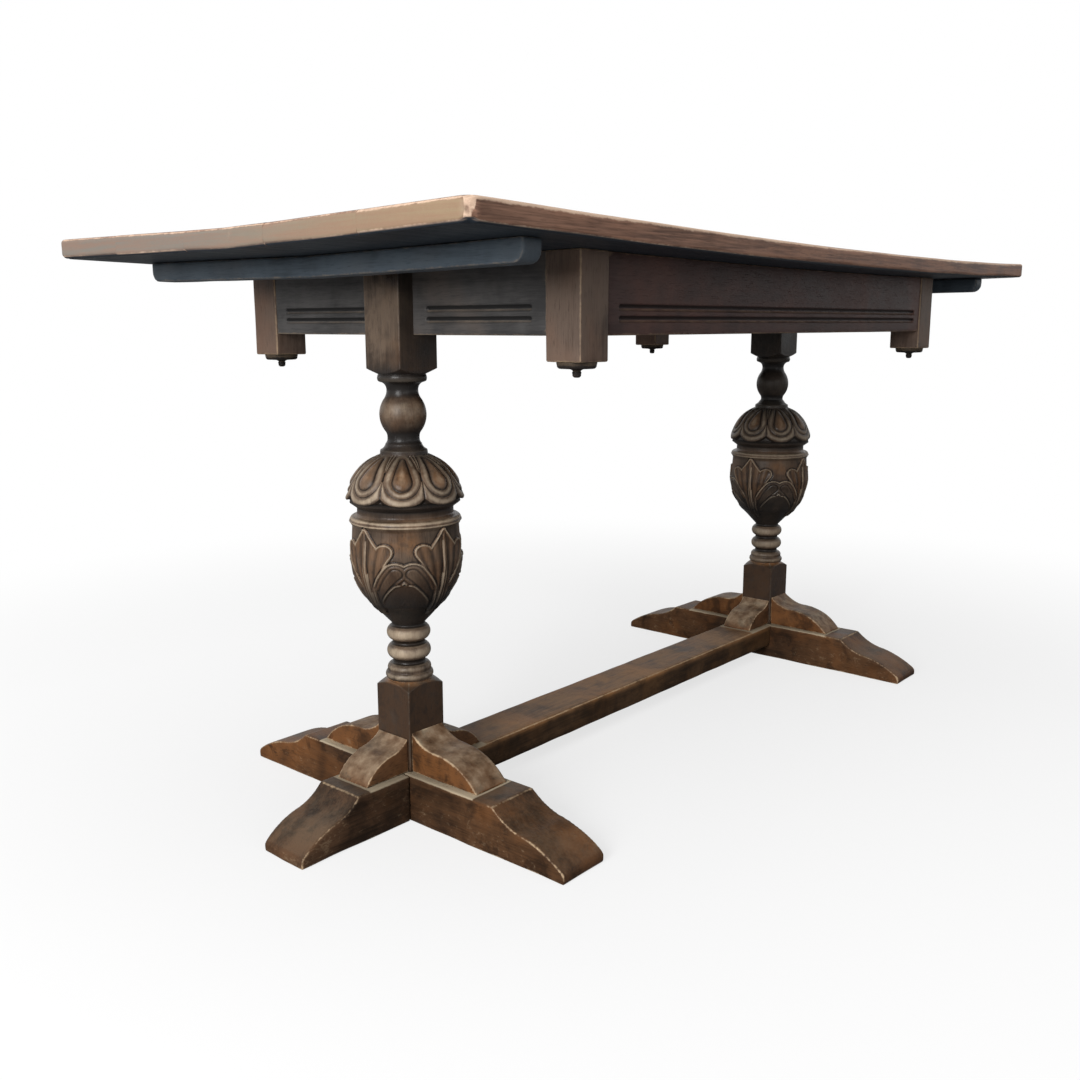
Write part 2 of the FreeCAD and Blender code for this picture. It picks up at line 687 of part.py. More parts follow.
def make_columns():
    pegs = []
    for end_name, end in ENDS.items():
        name = f"column_{end_name}"
        x = f"({end} * {COLUMN_X})"
        body = turned(name, column_corners())
        place(body, (x, "0", "0"))
        first, last = turning_z(TURNING_SHARES[0][1]), turning_z(TURNING_SHARES[-1][1])
        across = "2 * cover_radius + 2 * overrun"
        lower = box(f"{name}_lower", x, "0", "foot_height", "lower_block", "lower_block",
                    f"{first} - foot_height")
        middle = box(f"{name}_middle", x, "0", first, across, across, f"{last} - {first}")
        upper = box(f"{name}_upper", x, "0", last, "upper_block", "upper_block", f"{TOP_UNDER} - {last}")
        square = doc.addObject("Part::Common", f"{name}_square")
        square.Base = body
        square.Tool = joined(f"{name}_blank", [lower, middle, upper])
        whole = joined(f"{name}_whole", [square, column_tenon(f"{name}_tenon", end)])
        bridle = box(f"{name}_bridle", f"({end} * {END_RAIL_X})", "0", RAIL_BOTTOM, "rail_thick",
                     "upper_block + 2 * overrun", "rail_height + overrun")
        finished(name, carved(name, whole, [bridle] + bridle_pegs(f"{name}_peg_hole", end, "fit_gap")))
        pegs += bridle_pegs(f"{name}_peg", end)
    gathered("column_pegs", pegs)


def ogee(flat, reach, height, shares):
    """From a toe up to the edge of a level top: a swelling toe, then a hollow."""
    across_share, up_share, toe_share, hollow_share = shares
    meeting = f"({flat} + ({reach} - {flat}) * {across_share})"
    return [(reach, "0", toe_share), (meeting, f"{height} * {up_share}", hollow_share), (flat, height, 0)]


def foot_ogee(flat, reach):
    """The ogee of a foot, which ends in a short round nose."""
    low_share, high_share, in_share, nose_bulge = FOOT_NOSE_SHARES
    (toe, floor, swell), *rest = ogee(flat, reach, "foot_height", FOOT_OGEE_SHARES)
    nose_top = f"({reach} - ({reach} - {flat}) * {in_share})"
    return [(toe, floor, 0), (toe, f"foot_height * {low_share}", nose_bulge),
            (nose_top, f"foot_height * {high_share}", swell)] + rest


def mirrored(corners):
    """The same stretch of outline on the other side of the middle, run the other way."""
    bulges = [0] + [bulge for across, up, bulge in corners[:-1]]
    backwards = zip(reversed(corners), reversed(bulges))
    return [(f"-({across})", up, bulge) for (across, up, _), bulge in backwards]


def foot_tenon(name, end, inward, slack="0"):
    """The tenon of an outer foot, or of the stretcher, in the side of a cross foot."""
    middle = f"({end} * {COLUMN_X} + {inward} * ({FOOT_FACE} - foot_tenon_length / 2 - {slack} / 2))"
    return box(name, middle, "0", f"{FOOT_TENON_Z} - {slack}", f"foot_tenon_length + {slack}",
               f"foot_tenon_width + 2 * {slack}", f"foot_tenon_thick + 2 * {slack}")


def foot_pegs(name, end):
    """Pegs from below through the two tenons in a cross foot, a little short of the floor."""
    return [rod(f"{name}_{tenon_name}", (foot_peg_x(end, tenon), "0", "overrun"), "foot_peg_radius",
                "foot_height - foot_peg_cover - overrun") for tenon_name, tenon in ENDS.items()]


def foot_peg_hole(name, end, tenon):
    return rod(name, (foot_peg_x(end, tenon), "0", "-overrun"), "foot_peg_radius + fit_gap",
               "foot_height - foot_peg_cover + overrun + fit_gap")


def foot_peg_x(end, tenon):
    """The middle of a tenon on one side of a cross foot."""
    return f"({end} * {COLUMN_X} + {tenon} * ({FOOT_FACE} - foot_tenon_length / 2))"


def dowel(name, end, direction, slack="0"):
    """The upright dowel between a bracket and the foot below it."""
    x = f"({end} * {COLUMN_X} + {direction[0]} * {DOWEL_PLACE})"
    y = f"({direction[1]} * {DOWEL_PLACE})"
    return rod(name, (x, y, f"foot_height - dowel_depth - {slack}"), f"dowel_radius + {slack}",
               f"2 * dowel_depth + 2 * {slack}")


def make_feet():
    pegs = []
    for end_name, end in ENDS.items():
        cross = f"cross_foot_{end_name}"
        half = foot_ogee("cross_foot_flat", "cross_foot_reach")
        body = padded(cross, "XZ_Plane", half + mirrored(half), "foot_width")
        place(body, (f"({end} * {COLUMN_X})", "0", "0"), 90)
        cutters = [column_tenon(f"{cross}_column_mortise", end, "fit_gap")]
        for tenon_name, tenon in ENDS.items():
            cutters.append(foot_tenon(f"{cross}_mortise_{tenon_name}", end, tenon, "fit_gap"))
            cutters.append(foot_peg_hole(f"{cross}_peg_hole_{tenon_name}", end, tenon))
        for side_name, side in SIDES.items():
            cutters.append(dowel(f"{cross}_dowel_hole_{side_name}", end, (0, side), "fit_gap"))
        finished(cross, carved(cross, body, cutters))
        pegs += foot_pegs(f"{cross}_peg", end)

        outer = f"outer_foot_{end_name}"
        toe = foot_ogee("outer_foot_flat", "outer_foot_reach")
        heel = [(FOOT_FACE, "foot_height", 0), (FOOT_FACE, "0", 0)]
        body = padded(outer, "XZ_Plane", toe + heel, "foot_width")
        place(body, (f"({end} * {COLUMN_X})", "0", "0"), 0 if end > 0 else 180)
        whole = joined(f"{outer}_whole", [body, foot_tenon(f"{outer}_tenon", end, end)])
        holes = [foot_peg_hole(f"{outer}_peg_hole", end, end),
                 dowel(f"{outer}_dowel_hole", end, (end, 0), "fit_gap")]
        finished(outer, carved(outer, whole, holes))
    gathered("foot_pegs", pegs)


def make_stretcher():
    plank = box("stretcher_plank", "0", "0", "foot_height - stretcher_thick",
                f"2 * ({COLUMN_X} - {FOOT_FACE})", "stretcher_width", "stretcher_thick")
    tenons = [foot_tenon(f"stretcher_{name}_tenon", end, -end) for name, end in ENDS.items()]
    holes = []
    for end_name, end in ENDS.items():
        holes.append(foot_peg_hole(f"stretcher_{end_name}_peg_hole", end, -end))
        holes.append(dowel(f"stretcher_{end_name}_dowel_hole", end, (-end, 0), "fit_gap"))
    finished("stretcher", carved("stretcher", joined("stretcher_whole", [plank] + tenons), holes))


def make_brackets():
    dowels = []
    turns = {"east": (0, (1, 0)), "back": (90, (0, 1)), "west": (180, (-1, 0)), "front": (270, (0, -1))}
    for end_name, end in ENDS.items():
        for way, (turn, direction) in turns.items():
            name = f"bracket_{end_name}_{way}"
            kind = "cross" if direction[1] else "outer"
            corners = ogee("lower_block / 2", f"{kind}_bracket_reach", f"{kind}_bracket_rise", BRACKET_OGEE_SHARES)
            body = padded(name, "XZ_Plane", corners + [("lower_block / 2", "0", 0)], "bracket_width")
            place(body, (f"({end} * {COLUMN_X})", "0", "foot_height"), turn)
            finished(name, carved(name, body, [dowel(f"{name}_hole", end, direction, "fit_gap")]))
            dowels.append(dowel(f"{name}_dowel", end, direction))
    gathered("bracket_dowels", dowels)


def check_and_write():
    """Stop on any failed object, then write every piece."""
    doc.recompute()
    failed = [thing.Name for thing in doc.Objects if {"Invalid", "Error"} & set(thing.State)]
    if failed:
        raise RuntimeError(f"failed objects: {failed}")
    for piece in pieces:
        if piece.Shape.isNull() or not piece.Shape.isValid():
            raise RuntimeError(f"bad shape: {piece.Label}")
    os.makedirs("parts", exist_ok=True)
    for piece in pieces:
        piece.Shape.exportStep(os.path.join("parts", f"{piece.Label}.step"))


make_top()
make_battens()
make_side_rails()
make_end_rails()
make_bearer()
make_buttons()
make_posts()
make_columns()
make_feet()
make_stretcher()
make_brackets()
check_and_write()
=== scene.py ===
"""Looks of the refectory table: worn dark oak with carved columns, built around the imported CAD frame.

Lengths are metres in the frame of the CAD. The turned and carved column is worked out in millimetres
and scaled once.
"""

import math

import bmesh
import bpy
import numpy as np
from mathutils import Matrix, Vector, kdtree


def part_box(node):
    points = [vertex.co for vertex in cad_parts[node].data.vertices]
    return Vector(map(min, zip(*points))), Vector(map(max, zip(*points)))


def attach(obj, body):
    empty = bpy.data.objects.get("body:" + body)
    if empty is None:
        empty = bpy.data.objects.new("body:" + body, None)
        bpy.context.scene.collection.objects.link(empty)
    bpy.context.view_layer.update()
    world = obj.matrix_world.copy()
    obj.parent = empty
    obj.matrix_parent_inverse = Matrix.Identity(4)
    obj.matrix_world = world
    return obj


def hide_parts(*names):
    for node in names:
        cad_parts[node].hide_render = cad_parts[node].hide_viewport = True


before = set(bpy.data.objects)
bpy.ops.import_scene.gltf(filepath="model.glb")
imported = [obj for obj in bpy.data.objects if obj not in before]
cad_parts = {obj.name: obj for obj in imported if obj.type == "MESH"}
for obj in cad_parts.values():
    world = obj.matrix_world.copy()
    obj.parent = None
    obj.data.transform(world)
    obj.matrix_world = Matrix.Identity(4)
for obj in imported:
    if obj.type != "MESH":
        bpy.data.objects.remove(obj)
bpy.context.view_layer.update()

boards = [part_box("top_board_" + str(number)) for number in range(1, 6)]
top_box = (np.min([low for low, _ in boards], axis=0), np.max([high for _, high in boards], axis=0))

MM = 0.001
TINY = 1e-9
SLIVER = 1e-6
GOLDEN_SHARE = 0.6180339887
X, Y, Z = range(3)
ENDS = ("near", "far")
SIDES = ("front", "back")
BRACKET_WAYS = ("east", "back", "west", "front")
# Numbers at each point of a piece that its finish reads.
MARKS = ("wear", "cavity", "ledge", "stain_and_shade", "warmth")

# Waves of uneven wear: how many are added up, and their lengths as shares of the one asked for.
WAVES = 7
WAVE_SHARES = (0.6, 1.7)
# How far from an arris its rubbing can be seen.
WEAR_REACH = 0.02
# Round arrises of the planks, the grid lines across one as shares of its radius, and its waves.
POST_ROUND = 0.0022
RAIL_ROUND = 0.0018
STRETCHER_ROUND = 0.0035
ARRIS_SHARES = (0.0, 0.12, 0.3, 0.55, 0.8, 1.0)
PLANK_WAVE = 0.08
# Steps of the grid along, across and up.
POST_STEPS = (0.004, 0.004, 0.004)
STRETCHER_STEPS = (0.008, 0.005, 0.004)
# How far a rail or the stretcher runs into its neighbours.
TUCK = 0.001
# Boards of the top: steps of the grid along, across and up, the finer step near the ends and sides, the
# round arris with its unevenness, the round corner and the gap in each joint.
BOARD_STEPS = (0.012, 0.006, 0.0012)
BOARD_FINE_STEP = 0.0016
TOP_ROUND = 0.0062
TOP_ROUND_SHARE = 0.25
TOP_WAVE = 0.25
TOP_CORNER = 0.016
JOINT_GAP = 0.00006
SHARP_ANGLE = math.radians(60)
# Wear of the top: longer runs along its arrises, more along the upper side arrises, where it is also a
# painted highlight, and knocked corners.
RUN_WEAR = 0.05
RUN_WAVE = 0.35
SIDE_WEAR_AND_HIGHLIGHT = 0.1
SIDE_FACING = 0.8
KNOCKED_WEAR = 0.99
KNOCKED_RANGE = 0.12
KNOCKED_WAVE = 0.014
KNOCKED_SHARES = (0.2, 0.5)
KNOCKED_DEPTH = 0.004
# Loss at the lower corners of the top, over shares of the corner and depths from the edge.
CORNER_CHIP = 0.0022
CHIP_SHARES = (0.05, 0.6)
CHIP_DEPTHS = (0.004, 0.014)
# The old top has lifted at its corners, most at the near front one. In the middle of an end it lifts by a
# share of that; towards the middle of the table the lift falls off by a power.
CORNER_LIFT = 0.0085
END_LIFT_SHARE = 0.3
NEAR_LIFT_POWER = 1.6
FAR_LIFT_POWER = 2.8
FRONT_LIFT_SHARE = 0.15
FRONT_LIFT_ALONG = (0.2, 0.7)
FRONT_LIFT_ACROSS = (0.1, 0.37)
# Heights from which the pieces under the top follow its lift.
COLUMN_FOLLOWS = 0.62
POST_FOLLOWS = 0.66
RAIL_FOLLOWS = 0.68
# Even skin of the feet, brackets and battens: cells, what counts as an arris, and its uneven loss.
FOOT_VOXEL = 0.0021
BRACKET_VOXEL = 0.0016
WELD = 1e-5
ARRIS_ANGLE = math.radians(28)
ARRIS_SPACING = 0.0015
LOSS_REACH = 0.004
LOSS_WAVE = 0.07
MOST_LOSS = 1.6
SKIN_RIPPLE = 0.00012
SKIN_WAVE = 0.06
BRACKET_WARMTH = 0.6
# Dust on the brackets' upward faces, which is also a painted sheen.
BRACKET_DUST_AND_SHEEN = 0.55
# Dust on the ledges beside the brackets: a side of a bracket longer than this has the narrow margin.
BRACKET_LONG = 0.06
LEDGE_MARGINS = (0.004, 0.02)
LEDGE_FADE = 0.004
# Dark stain, partly painted shade, around the foot of a column: its most, where it fades, and the height
# of the base.
FOOT_STAIN_AND_SHADE_SHARE = 0.5
FOOT_STAIN_AND_SHADE_FADE = (0.05, 0.17)
BASE_HEIGHT = 0.2
# Dark stain on the stretcher's flanks: its most, how near to the flank, how far below the upper face.
FLANK_STAIN_SHARE = 0.75
FLANK_DEPTHS = (0.0008, 0.003)
FLANK_DROPS = (0.009, 0.004)
# Rails: steps of the grid along, across and up, and two stopped flutes along the lower part of the face,
# with finer steps across the flutes and at their stops.
RAIL_STEPS = (0.012, 0.006, 0.005)
FACE_DEPTH = 0.0012
FLUTE_HEIGHTS = (0.0184, 0.0315)
FLUTE_HALF_WIDTH = 0.0041
FLUTE_DEPTH = 0.0029
FLUTE_MARGIN = 0.022
FLUTE_POWER = 0.75
FLUTE_BAND = 0.006
FLUTE_STEP = 0.0008
STOP_BAND = (0.002, 0.008)
STOP_STEP = 0.001
# A flute has a painted highlight, and painted shade from about its middle up.
FLUTE_HIGHLIGHT_MARK = 0.8
FLUTE_SHADE_MARK = 2.0
FLUTE_SHADE = (-0.0018, 0.0004)


# Helpers for shapes

def ripple(points, wavelength, seed):
    """Smooth random waves, about -1 to 1, at each point."""
    rng = np.random.default_rng(seed)
    total = np.zeros(len(points))
    for _ in range(WAVES):
        way = rng.normal(size=3)
        way /= np.linalg.norm(way)
        length = wavelength * rng.uniform(*WAVE_SHARES)
        total += np.sin(points @ way * (2 * math.pi / length) + rng.uniform(0, 2 * math.pi))
    return total / math.sqrt(WAVES)


def smooth(values, start, end):
    """0 before start, 1 after end, and an even slope with soft ends between."""
    share = np.clip((values - start) / (end - start), 0.0, 1.0)
    return share * share * (3 - 2 * share)


def window(values, most, start, end):
    """Rises from 0 to the most over the start, and falls back to 0 over the end."""
    return most * smooth(values, *start) * (1 - smooth(values, *end))


def folded(angle, pitch):
    """Angle from the nearest multiple of a pitch."""
    return np.abs((angle + pitch / 2) % pitch - pitch / 2)


def corners_of(node):
    """Lowest and highest corner of a CAD node."""
    low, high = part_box(node)
    return np.array(low), np.array(high)


def piece(name, points, faces, finish, slot, node, **marks):
    """An object of these points and faces that stands for a CAD node and rides on the table.

    The marks are wear (nearness to an arris, along the top's upper side arrises also a painted highlight),
    cavity (above 0 where hands rub and where highlights are painted, below 0 in grooves and where shade is
    painted), ledge (thick dust, on the brackets also a painted sheen), stain_and_shade (old dark stain and
    painted shade) and warmth (warm colour).
    """
    mesh = bpy.data.meshes.new(name)
    mesh.from_pydata(points.tolist(), [], faces)
    mesh.validate()
    mesh.shade_smooth()
    for key in MARKS:
        values = marks.get(key, np.zeros(len(points)))
        layer = mesh.attributes.new(key, "FLOAT", "POINT")
        layer.data.foreach_set("value", values.astype(np.float32))
    tone = mesh.attributes.new("tone", "FLOAT", "POINT")
    tone.data.foreach_set("value", np.full(len(points), tone_of(name), np.float32))
    obj = bpy.data.objects.new(name, mesh)
    bpy.context.scene.collection.objects.link(obj)
    mesh.materials.append(finish)
    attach(obj, "root")
    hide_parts(node)
    return obj


def tone_of(name):
    """A fixed share from 0 to 1 for a piece, so that no two pieces have the same grain."""
    total = 0
    for place, letter in enumerate(name, 3):
        total += place * ord(letter)
    return (total * GOLDEN_SHARE) % 1.0


def nearness(distance):
    """1 on an arris, 0 where it is out of reach."""
    return np.clip(1 - distance / WEAR_REACH, 0.0, 1.0)


def lift(points):
    """How far the warped top stands above its flat middle at each point."""
    high = top_box[1]
    along = np.abs(points[:, X]) / high[X]
    across = np.abs(points[:, Y]) / high[Y]
    power = np.where(points[:, X] < 0, NEAR_LIFT_POWER, FAR_LIFT_POWER)
    front = 1 + (FRONT_LIFT_SHARE * smooth(-points[:, X], *FRONT_LIFT_ALONG)
                 * smooth(-points[:, Y], *FRONT_LIFT_ACROSS))
    return CORNER_LIFT * along ** power * (END_LIFT_SHARE + (1 - END_LIFT_SHARE) * across) * front


def follow_top(points, start):
    """Raises the upper part of a piece, from a height on, so that it still meets the warped top."""
    share = smooth(points[:, Z], start, top_box[0][Z])
    raised = points.copy()
    raised[:, Z] += lift(points) * share
    return raised


# Planks: boxes with round arrises, as a closed skin of quads

def ruled(low, high, rounding, step, bands=()):
    """Places of the grid lines along one axis.

    They are close at both ends and in the bands, each of which is a start, an end and a step.
    """
    places = [low + rounding * share for share in ARRIS_SHARES]
    places += [high - rounding * share for share in ARRIS_SHARES]
    count = max(1, math.ceil((high - low - 2 * rounding) / step))
    regular = np.linspace(low + rounding, high - rounding, count + 1)
    for start, end, fine in bands:
        regular = regular[(regular < start) | (regular > end)]
        places += np.linspace(start, end, max(2, math.ceil((end - start) / fine) + 1)).tolist()
    places += regular.tolist()
    places = np.unique(np.round(places, 6))
    return places[(places >= low - SLIVER) & (places <= high + SLIVER)]


def shell(axes):
    """Points and quads of the outer skin of a grid."""
    shape = tuple(len(axis) for axis in axes)
    outside = np.zeros(shape, bool)
    outside[[0, -1]] = True
    outside[:, [0, -1]] = True
    outside[:, :, [0, -1]] = True
    number = np.full(shape, -1)
    number[outside] = np.arange(outside.sum())
    points = np.stack(np.meshgrid(*axes, indexing="ij"), -1)[outside]
    quads = []
    for axis in range(3):
        for end in (0, -1):
            sheet = np.take(number, end, axis)
            corners = (sheet[:-1, :-1], sheet[1:, :-1], sheet[1:, 1:], sheet[:-1, 1:])
            square = np.stack(corners, -1).reshape(-1, 4)
            if (end == 0) != (axis == Y):
                square = square[:, ::-1]
            quads += square.tolist()
    return points, quads


def plank(low, high, rounding, steps, bands=((), (), ()), wear=0.0006, seed=0):
    """A plank with round, slightly uneven arrises. Gives its points, quads and nearness to the arrises."""
    low = np.array(low)
    high = np.array(high)
    axes = [ruled(low[i], high[i], rounding, steps[i], bands[i]) for i in range(3)]
    points, quads = shell(axes)
    to_faces = np.sort(np.minimum(points - low, high - points), axis=1)
    arris = to_faces[:, 1]
    inner = np.clip(points, low + rounding, high - rounding)
    out = points - inner
    way = out / np.linalg.norm(out, axis=1, keepdims=True)
    points = inner + way * rounding
    loss = np.exp(-arris / rounding) * (0.5 + 0.5 * ripple(points, PLANK_WAVE, seed)) * wear
    points = points - way * np.clip(loss, 0.0, None)[:, None]
    return points, quads, nearness(arris)


def board(name, seed):
    """A board of the top: square at its joints, round along the top's outer edge and at its corners."""
    low, high = corners_of(name)
    outer_low, outer_high = top_box
    if low[Y] > outer_low[Y] + SLIVER:
        low[Y] += JOINT_GAP
    if high[Y] < outer_high[Y] - SLIVER:
        high[Y] -= JOINT_GAP
    bands = []
    for i in (X, Y):
        bands.append([(low[i], low[i] + TOP_CORNER, BOARD_FINE_STEP),
                      (high[i] - TOP_CORNER, high[i], BOARD_FINE_STEP)])
    bands.append([(low[Z], high[Z], BOARD_STEPS[Z])])
    axes = [ruled(low[i], high[i], 0.0, BOARD_STEPS[i], bands[i]) for i in range(3)]
    points, quads = shell(axes)
    core = np.clip(points[:, :2], outer_low[:2] + TOP_CORNER, outer_high[:2] - TOP_CORNER)
    out = points[:, :2] - core
    length = np.maximum(np.hypot(out[:, X], out[:, Y]), TINY)
    out = out * (np.abs(out).max(axis=1) / length)[:, None]
    length = np.maximum(np.hypot(out[:, X], out[:, Y]), TINY)
    way = out / length[:, None]
    inside = TOP_CORNER - length
    depth = np.minimum(points[:, Z] - low[Z], high[Z] - points[:, Z])
    rounding = TOP_ROUND * (1 + TOP_ROUND_SHARE * ripple(points, TOP_WAVE, seed))
    inward = np.clip(rounding - inside, 0.0, None)
    upward = np.clip(rounding - depth, 0.0, None)
    scale = np.maximum(inward, upward) / np.maximum(np.hypot(inward, upward), TINY)
    both = (inward > 0) & (upward > 0)
    shift_in = np.where(both, inward * (scale - 1), 0.0)
    shift_up = np.where(both, upward * (scale - 1), 0.0)
    arris = np.hypot(inside, depth)
    on_corner = np.minimum(np.abs(out[:, X]), np.abs(out[:, Y])) / TOP_CORNER
    middle = (low[Z] + high[Z]) / 2
    by_side = np.abs(way[:, Y]) > SIDE_FACING
    # Along the upper side arrises the wear is also a painted highlight.
    worn_run_and_highlight = RUN_WEAR * ripple(points, RUN_WAVE, seed + 5) + SIDE_WEAR_AND_HIGHLIGHT * by_side * (points[:, Z] > middle)
    knocked = KNOCKED_WEAR + KNOCKED_RANGE * ripple(points, KNOCKED_WAVE, seed)
    knocked = knocked * smooth(on_corner, *KNOCKED_SHARES) * (inside < KNOCKED_DEPTH)
    wear = np.maximum(nearness(arris) + worn_run_and_highlight * (nearness(arris) > 0), knocked)
    points[:, :2] = core + out + way * shift_in[:, None]
    low_share = np.clip((middle - points[:, Z]) / (middle - low[Z]), 0.0, 1.0)
    chip = CORNER_CHIP * low_share * smooth(on_corner, *CHIP_SHARES) * (1 - smooth(inside, *CHIP_DEPTHS))
    points[:, Z] += chip
    points[:, Z] += np.where(points[:, Z] > middle, shift_up, -shift_up)
    points[:, Z] += lift(points)
    made = piece("worn_" + name, points, quads, top_oak, "oak_top", name, wear=wear)
    made.data.set_sharp_from_angle(angle=SHARP_ANGLE)


# Skins: CAD nodes remade as an even skin with softened, worn arrises

def arrises(mesh):
    """Points along the sharp edges of a mesh, close enough together to measure from."""
    work = bmesh.new()
    work.from_mesh(mesh)
    bmesh.ops.remove_doubles(work, verts=work.verts, dist=WELD)
    found = []
    for edge in work.edges:
        if len(edge.link_faces) == 2 and edge.calc_face_angle() > ARRIS_ANGLE:
            first = edge.verts[0].co
            last = edge.verts[1].co
            count = max(1, math.ceil((last - first).length / ARRIS_SPACING))
            found += [first.lerp(last, step / count) for step in range(count + 1)]
    work.free()
    return found


def skin(node, voxel, rounds, finish, slot, wear, seed):
    """The node's shape as an even skin: voxel remesh, smoothing, then uneven loss along the arrises."""
    name = "worn_" + node
    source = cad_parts[node]
    base = bpy.data.objects.new(name + "_base", source.data.copy())
    bpy.context.scene.collection.objects.link(base)
    weld = base.modifiers.new("weld", "WELD")
    weld.merge_threshold = WELD
    remesh = base.modifiers.new("remesh", "REMESH")
    remesh.mode = "VOXEL"
    remesh.voxel_size = voxel
    soften = base.modifiers.new("soften", "SMOOTH")
    soften.iterations = rounds
    soften.factor = 0.5
    graph = bpy.context.evaluated_depsgraph_get()
    made = bpy.data.meshes.new_from_object(base.evaluated_get(graph))
    sharp = arrises(source.data)
    tree = kdtree.KDTree(len(sharp))
    for index, point in enumerate(sharp):
        tree.insert(point, index)
    tree.balance()
    count = len(made.vertices)
    points = np.empty(count * 3)
    made.vertices.foreach_get("co", points)
    points = points.reshape(-1, 3)
    normals = np.empty(count * 3)
    made.vertices.foreach_get("normal", normals)
    normals = normals.reshape(-1, 3)
    distance = np.array([tree.find(Vector(point))[2] for point in points])
    uneven = np.clip(0.5 + 0.6 * ripple(points, LOSS_WAVE, seed), 0.0, MOST_LOSS)
    loss = np.exp(-distance / LOSS_REACH) * uneven * wear
    loss += SKIN_RIPPLE * ripple(points, SKIN_WAVE, seed + 1)
    points = np.clip(points - normals * loss[:, None], *corners_of(node))
    if "batten" in node:
        points[:, Z] += lift(points)
    faces = [list(polygon.vertices) for polygon in made.polygons]
    bpy.data.objects.remove(base)
    bpy.data.meshes.remove(made)
    marks = {"wear": nearness(distance), "ledge": beside_brackets(points), "stain_and_shade": by_column(points)}
    # Brackets get dust that is also a painted sheen.
    if "bracket" in node:
        marks = {"wear": nearness(distance), "ledge": np.full(count, BRACKET_DUST_AND_SHEEN),
                 "warmth": np.full(count, BRACKET_WARMTH)}
    piece(name, points, faces, finish, slot, node, **marks)


def beside_brackets(points):
    """1 on the ledges beside the brackets, where dust lies thick, and 0 past their ends."""
    found = np.zeros(len(points))
    flat = points[:, :2]
    for end in ENDS:
        for way in BRACKET_WAYS:
            low, high = corners_of("bracket_" + end + "_" + way)
            margin = np.where(high[:2] - low[:2] > BRACKET_LONG, *LEDGE_MARGINS)
            inside = np.minimum(flat - low[:2] + margin, high[:2] + margin - flat).min(axis=1)
            level = np.abs(points[:, Z] - low[Z]) < LEDGE_FADE
            found = np.maximum(found, np.clip(inside / LEDGE_FADE, 0.0, 1.0) * level)
    return found


def by_column(points):
    """Dark stain and dirt, with painted shade, around the foot of a column, fading along the feet."""
    found = np.zeros(len(points))
    for end in ENDS:
        low, high = corners_of("column_" + end)
        middle = (low + high) / 2
        away = np.hypot(points[:, X] - middle[X], points[:, Y] - middle[Y])
        found = np.maximum(found, FOOT_STAIN_AND_SHADE_SHARE * (1 - smooth(away, *FOOT_STAIN_AND_SHADE_FADE)))
    return found * (points[:, Z] < BASE_HEIGHT)


# Columns: turned profile, square blocks, carved cover and cup

# Corners of the turned outline in millimetres: radius, height, swell of the arc to the next corner.
# A swell is the arc's rise over its chord, outward where positive. The last height gives way to the node's.
TURNING = [
    (46.0, 64.5, 0.0),
    (46.0, 174.0, 0.0),
    (43.0, 176.0, 0.0),
    (28.4, 184.6, 0.28),
    (29.4, 195.6, 0.0),
    (28.6, 196.4, 0.26),
    (22.4, 206.6, -0.2),
    (22.4, 212.6, 0.33),
    (22.4, 233.4, -0.2),
    (22.4, 238.3, 0.33),
    (22.4, 258.9, -0.2),
    (22.4, 262.0, -0.02),
    (52.6, 290.6, 0.07),
    (74.2, 352.0, 0.0),
    (71.6, 398.5, 0.0),
    (73.0, 399.8, 0.3),
    (72.6, 402.4, 0.25),
    (66.5, 407.4, -0.12),
    (62.9, 411.4, 0.0),
    (62.9, 418.4, 0.0),
    (73.0, 426.0, 0.3),
    (76.2, 433.0, 0.125),
    (31.0, 486.6, 0.0),
    (30.6, 491.8, 0.1),
    (29.8, 493.0, -0.12),
    (23.4, 500.8, -0.1),
    (20.8, 506.5, -0.02),
    (20.8, 510.5, -0.08),
    (23.4, 516.8, 0.164),
    (23.4, 559.0, -0.06),
    (20.4, 568.0, -0.05),
    (20.9, 573.0, -0.15),
    (28.6, 579.6, 0.0),
    (30.9, 580.8, 0.12),
    (30.9, 588.8, 0.0),
    (30.3, 589.4, 0.0),
    (46.5, 597.2, 0.0),
    (48.0, 599.2, 0.0),
    (48.0, 728.0, 0.0),
]
# Old dark stain on the turning, with painted shade on the lower cup, under the cover's lip, in the necks and
# beside the rim's lips: height in millimetres and its share of the colour.
STAIN_AND_SHADE_SHARES = [
    (180.0, 0.84), (186.0, 0.2), (204.0, 0.0), (210.0, 0.4), (215.0, 0.0), (255.0, 0.05), (262.0, 0.85),
    (292.0, 0.97), (306.0, 0.85), (330.0, 0.45), (350.0, 0.3), (390.0, 0.22), (398.0, 0.0), (401.0, 0.0),
    (402.6, 0.35), (404.0, 0.0), (407.0, 0.1), (411.0, 0.5), (418.0, 0.9), (426.0, 0.75), (431.0, 0.0),
    (465.0, 0.1), (482.0, 0.6), (490.0, 0.85), (515.0, 0.9), (524.0, 0.6), (536.0, 0.24), (550.0, 0.24),
    (560.0, 0.45), (570.0, 0.85), (590.0, 0.88), (602.0, 0.2), (640.0, 0.05),
]
# More of it, as painted shade, on two sides of the upper block, and all over the far column, most from
# its neck up.
SIDE_SHADE_SHARE = 0.65
SIDE_FACINGS = (0.7, 0.74)
SIDE_SHADE_START = (592.0, 600.0)
FAR_SHADE_SHARE = 0.3
FAR_NECK_SHADE_SHARE = 0.5
FAR_NECK_START = (478.0, 500.0)
# The far column was turned a little stouter and its cover taller: how much, and the heights over which each
# starts and ends.
FAR_GIRTH_SHARE = 1.02
FAR_GIRTH = (FAR_GIRTH_SHARE - 1, (270.0, 300.0), (490.0, 505.0))
FAR_COVER_RISE = (5.0, (434.0, 478.0), (494.0, 516.0))
